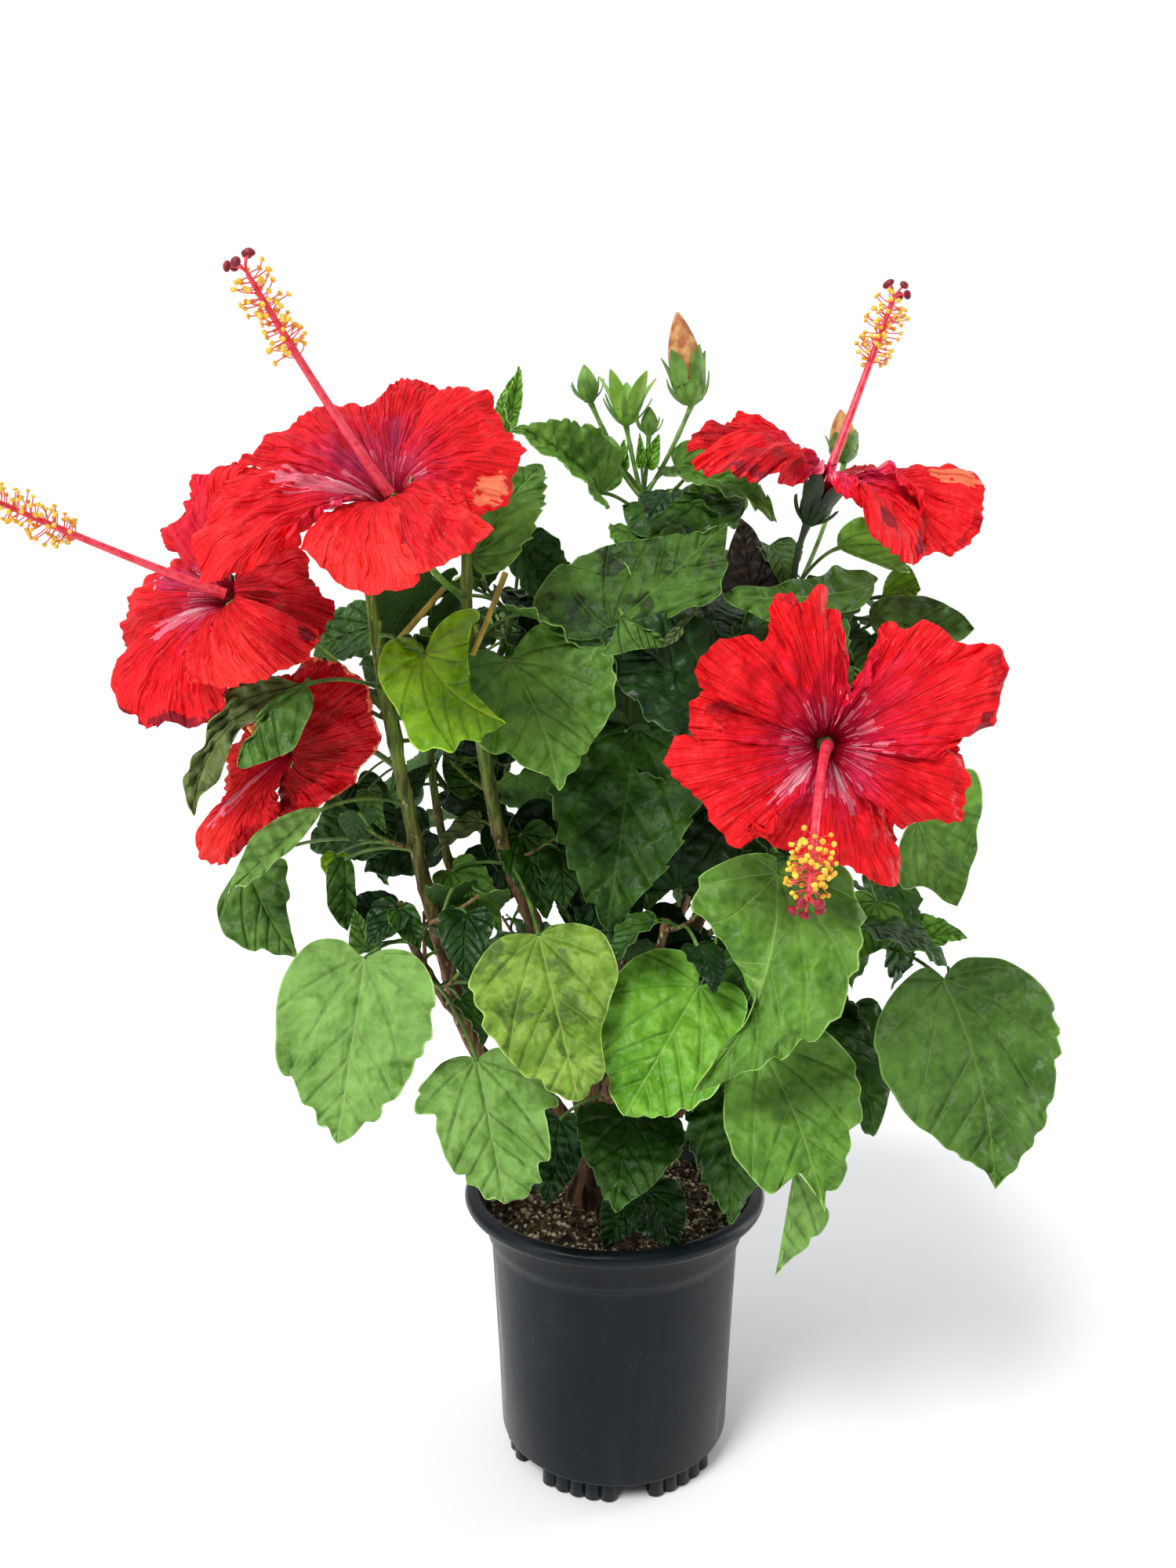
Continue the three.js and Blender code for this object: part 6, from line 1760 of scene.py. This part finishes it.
def petal_grid(bloom, petal, layer, chance):
    """One petal as a fan of lines. Each is a cubic from the throat over its mouth to the margin,
    whose third point is lifted by the swell. Along the surface's normal it carries ruffles,
    pleats and crumples that grow with the distance from the throat."""
    _, ruffle, swell, depths, readings, *_ = petal
    heart, axis, _, _ = bloom
    share = np.linspace(0, 1, PETAL_ROWS)[:, None]
    side = np.linspace(-1, 1, PETAL_COLUMNS)[None]
    margin = line_through(seen_at(readings, depths))
    end = margin.at((side[0] + 1) / 2)
    out = end - heart
    reach = np.linalg.norm(out, axis=1)
    out = unit(out - (out @ axis)[:, None] * axis)
    a = heart + out * (THROAT_RADIUS + LAYER * layer) - axis * THROAT_DEPTH
    b = heart + out * (THROAT_MOUTH[0] + LAYER * layer) + axis * THROAT_MOUTH[1]
    c = mix(b, end, SWELL_SHARE) + axis * swell * (reach / reach.max())[:, None]
    p, q, r, s = chance.uniform(0, 2 * pi, 4)
    scallop = 0.009 * np.sin(14 * side + p) + 0.007 * np.sin(31 * side + q) + 0.005 * np.sin(57 * side + r)
    t = (share * (1 + scallop * share**3))[..., None]
    grid = (1 - t) ** 3 * a + 3 * t * (1 - t) ** 2 * b + 3 * t * t * (1 - t) * c + t**3 * end
    normal = unit(np.cross(np.gradient(grid, axis=1), np.gradient(grid, axis=0)))
    normal = normal * np.sign((normal @ axis).mean())
    grow = ease(0.3, 1.0, share)
    folds = np.sin(5.2 * side + p) * 0.5 + np.sin(9.7 * side + 2.5 * share + q) * 0.42
    folds = folds + 0.24 * np.sin(17 * side + 5 * share + r)
    frill = 0.3 * np.sin(38 * side + s + 3 * np.sin(7 * side)) * ease(0.78, 1.0, share)
    edges = np.abs(side) ** 4 * np.sin(11 * share + s + 2 * np.sign(side)) * ease(0.25, 0.6, share)
    pleats = 0.42 * np.sin(23 * side + 0.8 * np.sin(3 * share + p)) + 0.22 * np.sin(41 * side + q)
    pleats = pleats * ease(0.12, 0.4, share) * ease(1.0, 0.8, share)
    over, along = share * side * margin.length / 2, share * reach.max()
    turns, spans, starts = chance.uniform((0, 9, 0), (pi, 19, 2 * pi), (CRUMPLES, 3)).T
    swings = [span / 15 * np.abs(np.sin(pi * (over * cos(turn) + along * sin(turn)) / span + start))
              for turn, span, start in zip(turns, spans, starts)]
    crumple = (sum(swings) - 5) * CRUMPLE * ease(0.25, 0.6, share)
    lift = ruffle * (0.6 * folds * grow**2 + frill + 0.4 * edges) + pleats - crumple
    lift = lift - PETAL_CUP * share * side**2
    places = np.stack(np.broadcast_arrays(0.5 + 0.45 * side, 0.02 + 0.96 * share), -1)
    return grid + normal * lift[..., None], places, reach / reach.max()


flowers = {}
for number, (name, bloom) in enumerate(BLOOMS.items()):
    chance = np.random.default_rng(PETAL_SEED + number)
    heart = np.array(bloom["heart"], float)
    axis = unit(np.array(bloom["axis"], float))
    above = unit(UP - UP @ axis * axis)
    flowers[name] = (heart, axis, above, np.cross(axis, above))
    made = [petal_grid(flowers[name], petal, layer, chance) for layer, petal in enumerate(PETALS[name])]
    grids, places, reaches = (np.stack(each) for each in zip(*made))
    kinds = np.stack([petal_kinds(*each, chance) for each in zip(PETALS[name], reaches)])
    blossom = Gathered()
    sheets(grids, PETAL_SKIN, places, blossom, kinds, kinds)
    blossom.piece(f"{name}_petals", PETAL_FINISHES, "bloom", f"bloom_{name}")

# %% [markdown]
# Out of each throat grows the column: a red tube, a brush of fine red threads that end in
# yellow anthers, and five dark red pads at the tip. Threads and anthers are made all at once
# as arrays. Behind the petals sits the calyx, a green bell with five lobes and narrow bracts.

# %% Column, calyx and stalk finishes
COLUMN_FINISHES = [
    plain_finish("column_red", (0.72, 0.02, 0.045), (0.86, 0.07, 0.11), 0.38),
    plain_finish("thread_red", (0.7, 0.03, 0.04), (0.86, 0.12, 0.1), 0.45),
    plain_finish("anther_yellow", (0.78, 0.42, 0.02), (0.95, 0.66, 0.06), 0.6),
    plain_finish("stigma_red", (0.14, 0.0, 0.012), (0.36, 0.004, 0.02), 0.55),
]
CALYX_GREEN = plain_finish("calyx_green", (0.075, 0.19, 0.018), (0.18, 0.36, 0.05), 0.5, 120.0)
CALYX_DARK = plain_finish("calyx_dark", (0.012, 0.035, 0.01), (0.035, 0.075, 0.02), 0.5, 120.0)
BUD_LIME = plain_finish("bud_lime", (0.16, 0.38, 0.02), (0.3, 0.55, 0.06), 0.45, 120.0)
BUD_RUST = plain_finish("bud_rust", (0.36, 0.09, 0.03), (0.62, 0.34, 0.1), 0.7, 150.0, 0.001)
GREENS = [CALYX_GREEN, CALYX_DARK, BUD_LIME, BUD_RUST]
print("small finishes:", len(COLUMN_FINISHES) + len(GREENS))

# %% Columns
THREADS = 84
COLUMN_RADII = [2.9, 2.3, 2.0, 1.8, 1.7, 1.6, 1.3, 1.0]
BRUSH = (0.62, 0.94)
THREAD_LENGTHS = (4.5, 10.5)
THREAD_LEANS = (-0.1, 0.55)
THREAD_RADIUS = 0.25
STYLES = 5
STYLE_RADIUS = 0.45
PAD_REACH = (6.0, 9.0)
PAD_SPREAD = 5.6
PAD_SIZE = (1.5, 2.3)
COLUMN_SEED = 60


def column(bloom, flower, gathered, chance):
    """The column's tube, then threads that leave it along the brush in a seeded spiral, each a
    bow that ends in an anther, and five styles with pads at the tip."""
    heart, axis, _, _ = flower
    tip = np.array(bloom["tip"], float)
    start = heart - axis * 0.6 * THROAT_DEPTH
    span = np.linalg.norm(tip - start)
    line = bow(start, mix(start, tip, 0.5) + UP * 2 * bloom["rise"] * span, tip)
    first, last = bloom.get("brush", BRUSH)
    end_share = last + 0.01
    share = np.linspace(0, end_share, 40)
    radius = np.interp(share, np.linspace(0, end_share, len(COLUMN_RADII)), COLUMN_RADII)
    tubes(line.at(share)[None], radius[None], 14, gathered, 0)
    shares = np.linspace(first, last, THREADS) + chance.uniform(-0.01, 0.01, THREADS)
    root, along = line.at(shares), line.along(shares)
    side_way = unit(np.cross(along, UP + 0.01))
    other_way = np.cross(along, side_way)
    turn = np.radians(GOLDEN_TURN) * np.arange(THREADS) + chance.uniform(-0.5, 0.5, THREADS)
    out = side_way * np.cos(turn)[:, None] + other_way * np.sin(turn)[:, None]
    length = chance.uniform(*THREAD_LENGTHS, THREADS)[:, None]
    lean = chance.uniform(*THREAD_LEANS, THREADS)[:, None]
    end = root + unit(out + along * lean) * length
    bend = root + out * length * 0.45
    t = np.linspace(0, 1, 5)[None, :, None]
    paths = (1 - t) ** 2 * root[:, None] + 2 * t * (1 - t) * bend[:, None] + t * t * end[:, None]
    tubes(paths, THREAD_RADIUS, 5, gathered, 1)
    sizes = np.stack([chance.uniform(0.75, 1.1, THREADS), chance.uniform(1.0, 1.4, THREADS)], -1)
    beads(end, sizes, unit(out + 0.3 * along), gathered, 2, levels=4, sides=7)
    top, ahead = line.at(last), line.along(last)
    spokes = 2 * pi * np.arange(STYLES) / STYLES + chance.uniform(-0.2, 0.2, STYLES)
    side_way = unit(np.cross(ahead, UP + 0.01))
    spread = side_way * np.cos(spokes)[:, None] + np.cross(ahead, side_way) * np.sin(spokes)[:, None]
    pads = top + ahead * chance.uniform(*PAD_REACH, STYLES)[:, None] + spread * PAD_SPREAD
    paths = (1 - t) ** 2 * top + 2 * t * (1 - t) * (top + ahead * 5) + t * t * pads[:, None]
    tubes(paths, STYLE_RADIUS, 6, gathered, 0)
    beads(pads, np.tile([PAD_SIZE], (STYLES, 1)), unit(spread + ahead), gathered, 3, levels=5, sides=10)


for number, (name, bloom) in enumerate(BLOOMS.items()):
    pistil = Gathered()
    column(bloom, flowers[name], pistil, np.random.default_rng(COLUMN_SEED + number))
    pistil.piece(f"{name}_column", COLUMN_FINISHES, "bloom")

# %% Whorls of lobes
LOBE_ROWS = 12
LOBE_COLUMNS = 7


def whorl(foot, axis, count, start, length, width, lean, curl, gathered, kind, turn=0.0, skin=0.6):
    """A ring of pointed lobes round an axis. A lobe's middle line leaves a ring of radius
    `start`, leaning out from the axis by an angle that grows by `curl` to its tip, and its
    half width falls off as a power of the distance to the tip."""
    helper = UP if abs(axis[2]) < 0.9 else np.array([1.0, 0, 0])
    first = unit(np.cross(axis, helper))
    second = np.cross(axis, first)
    angle = 2 * pi * np.arange(count) / count + turn
    out = (first * np.cos(angle)[:, None] + second * np.sin(angle)[:, None])[:, None, None]
    beside = (second * np.cos(angle)[:, None] - first * np.sin(angle)[:, None])[:, None, None]
    t = np.linspace(0, 1, LOBE_ROWS)
    bearing = np.radians(lean + curl * t)
    step = length / (LOBE_ROWS - 1)
    rise = np.concatenate([[0], np.cumsum(np.cos(bearing[:-1]) * step)])[None, :, None, None]
    reach = start + np.concatenate([[0], np.cumsum(np.sin(bearing[:-1]) * step)])[None, :, None, None]
    half = width / 2 * (np.sin(pi * (0.25 + 0.75 * t)) ** 0.8 + 0.02)[None, :, None, None]
    side = np.linspace(-1, 1, LOBE_COLUMNS)[None, None, :, None]
    cup = 0.25 * half * side**2
    grids = foot + axis * rise + out * (reach - cup) + beside * half * side
    places = np.stack(np.broadcast_arrays(side[0, ..., 0] * 0.4 + 0.5, t[:, None]), -1)
    sheets(np.ascontiguousarray(grids[:, :, ::-1]), skin, places, gathered, kind, kind)


def cup_shape(foot, axis, heights, radii, gathered, kind, lobes=5, flute=0.06):
    """A closed fluted cup along an axis: rings at heights whose radius swells at each lobe."""
    heights, radii = np.array(heights, float), np.array(radii, float)
    path = foot + axis * heights[:, None]
    angle = 2 * pi * np.arange(20) / 20
    relief = flute * radii[:, None] * np.cos(lobes * angle)
    tubes(path[None], radii[None], 20, gathered, kind, relief[None])


print("rows and columns of a lobe:", LOBE_ROWS, LOBE_COLUMNS)

# %% Calyces and stalks
CALYX_LENGTH = 30
DARK_CALYX = "upper_right"
for number, (name, bloom) in enumerate(BLOOMS.items()):
    heart, axis, above, beside = flowers[name]
    kind = int(name == DARK_CALYX)
    foot_place = heart - axis * CALYX_LENGTH
    green = Gathered()
    cup_shape(foot_place, axis, [0, 2, 5, 9, 13], [2.5, 4.6, 6.4, 7.4, 7.7], green, kind)
    whorl(foot_place + axis * 12, axis, 5, 7.6, 13, 9.5, 14, 12, green, kind)
    whorl(foot_place + axis * 1.5, axis, 8, 3.6, 13, 2.6, 62, -50, green, kind, 0.3)
    root = lines[bloom["stem"]].at(bloom["root"])
    span = np.linalg.norm(foot_place - root)
    stalk = bow(root, foot_place - axis * 0.45 * span, foot_place + axis * 2)
    share = np.linspace(0, 1, 40)
    radius = 1.55 + 0.7 * ease(0.8, 1.0, share) + 0.35 * np.exp(-(((share - 0.72) / 0.02) ** 2))
    tubes(stalk.at(share)[None], radius[None], 12, green, kind)
    green.piece(f"{name}_calyx", GREENS, "foliage")

# %% [markdown]
# The buds stand on thin stalks over the top. Each has a fluted green calyx with five points
# and a ring of narrow bracts. One is spent and rust coloured, and one has dropped its petals.

# %% Buds
BUDS = {
    "top": ("centre", [
        [[-14, -28, 578], [-17, -29, 596], 5.5, "closed"],
        [[4, -30, 566], [5, -30, 592], 10.5, "open"],
        [[16, -27, 562], [16, -27, 576], 4.5, "closed"],
        [[38, -24, 577], [30, -22, 623], 9.5, "spent"],
        [[0, -34, 546], [-4, -36, 560], 4, "closed"],
    ]),
    "right": ("right", [[[123, 8, 553], [120, 8, 581], 8, "spent"]]),
}
for name, (stem, buds) in BUDS.items():
    green = Gathered()
    upper = wood_lines[STEMS[stem]["foliage"]][0]
    for order, (foot_place, tip, radius, state) in enumerate(buds):
        foot_place, tip = np.array(foot_place, float), np.array(tip, float)
        length = np.linalg.norm(tip - foot_place)
        axis = (tip - foot_place) / length
        root = upper.at(0.99)
        sag = 0.1 * np.linalg.norm(foot_place - root)
        stalk = bow(root, mix(root, foot_place, 0.5) - UP * sag, foot_place + axis)
        share = np.linspace(0, 1, 26)
        size = 1.15 + 0.45 * ease(0.85, 1.0, share) + 0.3 * np.exp(-(((share - 0.7) / 0.03) ** 2))
        tubes(stalk.at(share)[None], size[None], 10, green, 0)
        kind = 2 if state == "open" else 0
        if state == "open":
            cup_shape(foot_place, axis, [0, 2, 5, 9], [1.6, 5, 6.4, 6], green, kind)
            whorl(foot_place + axis * 7, axis, 5, 5.8, length - 6, 9, 22, 14, green, kind)
            whorl(foot_place + axis * 1.5, axis, 7, 3.5, length * 0.6, 2.4, 50, -30, green, 0, 0.3)
        elif state == "spent":
            cup = length * 0.24
            sizes = [1.6, radius * 0.6, radius * 0.82, radius * 0.86]
            cup_shape(foot_place, axis, [0, 2, cup * 0.55, cup], sizes, green, 0)
            lobes_foot = foot_place + axis * cup * 0.85
            whorl(lobes_foot, axis, 5, radius * 0.86, length * 0.38, radius, 6, 14, green, 0)
            whorl(foot_place + axis, axis, 8, 2.6, length * 0.36, 1.8, 62, -62, green, 0, 0.3)
            heights = np.linspace(cup * 0.8, length, 14)
            swell = np.sin(pi * np.linspace(0.3, 0.985, 14)) ** 0.8 * radius * 0.8
            cup_shape(foot_place, axis, heights, swell, green, 3, lobes=4, flute=0.12)
        else:
            heights = np.linspace(0, length, 16)
            swell = np.sin(pi * np.linspace(0.08, 0.99, 16) ** 0.8) ** 0.85 * radius * 0.9
            cup_shape(foot_place, axis, heights, swell, green, 0, lobes=5, flute=0.12)
            whorl(foot_place + axis, axis, 7, 1.8, length * 0.66, 1.3, 66, -66, green, 0, 0.3)
    green.piece(f"{name}_buds", GREENS, "foliage")

# %% [markdown]
# The plant stands on a plain pale floor in soft light: a broad soft sun over the camera's left
# shoulder, and two tall lamps at the sides whose gleams the pot shows. The room is white to the
# camera, but darker behind it, so that leaves and pot keep their deep tones.

# %% Floor
FLOOR_REACH = 9
floor_mesh = bpy.data.meshes.new("floor")
corners = [(FLOOR_REACH * x, FLOOR_REACH * y, 0) for x, y in ((-1, -1), (1, -1), (1, 1), (-1, 1))]
floor_mesh.from_pydata(corners, [], [(0, 1, 2, 3)])
floor = placed("floor", floor_mesh)
material, place, _ = begin("pale_floor")
grain = place.noise(3.0, 2.0)
floor_mesh.materials.append(
    finish(material, place, grain.blend((0.9, 0.9, 0.9), (0.93, 0.93, 0.93)), 0.9, Specular_IOR_Level=0.0))
print("floor's width in metres:", 2 * FLOOR_REACH)

# %% Room
world = bpy.data.worlds.new("room")
bpy.context.scene.world = world
world.use_nodes = True
tree = world.node_tree
tree.nodes.clear()
sky = Wire(tree, tree.nodes.new("ShaderNodeTexCoord").outputs["Generated"])
_, backward, upward = sky.axes()
room = upward.between(-0.15, 0.85).blend((0.3, 0.32, 0.33), (0.92, 0.93, 0.95))
room = ((1 - backward.between(-0.9, 0.2)) * 0.6).blend(room, (0.06, 0.065, 0.07))
seen = Wire(tree, tree.nodes.new("ShaderNodeLightPath").outputs["Is Camera Ray"])
shine = sky.node("ShaderNodeBackground", {}, {"Color": seen.blend(room, (1.0, 1.0, 1.0)), "Strength": 1.0})
output = tree.nodes.new("ShaderNodeOutputWorld")
tree.links.new(shine.socket, output.inputs["Surface"])
print("nodes of the room:", len(tree.nodes))

# %% Lamps
LAMP_TARGET = (0, 0, 0.25)
LAMP_SIZE = (0.3, 1.1)


def lamp(name, place, target, size, power):
    """A tall soft lamp, of a width and height, that looks at a place."""
    data = bpy.data.lights.new(name, "AREA")
    data.shape = "RECTANGLE"
    data.size, data.size_y = size
    data.energy = power
    aim(data, name, place, target)


def aim(data, name, place, target):
    """Puts a light at a place and turns it to another."""
    made = placed(name, data)
    made.location = place
    direction = Vector(target) - Vector(place)
    made.rotation_euler = direction.to_track_quat("-Z", "Y").to_euler()


sun = bpy.data.lights.new("soft_sun", "SUN")
sun.energy = 2.5
sun.angle = radians(22)
aim(sun, "soft_sun", (-0.7, -1.0, 1.35), (0, 0, 0))
lamp("left_lamp", (-1.25, -0.75, 0.45), LAMP_TARGET, LAMP_SIZE, 3.6)
lamp("right_lamp", (1.35, 0.35, 0.45), LAMP_TARGET, LAMP_SIZE, 7.5)
bpy.context.scene.view_settings.view_transform = "Standard"
print("the sun's energy:", sun.energy)
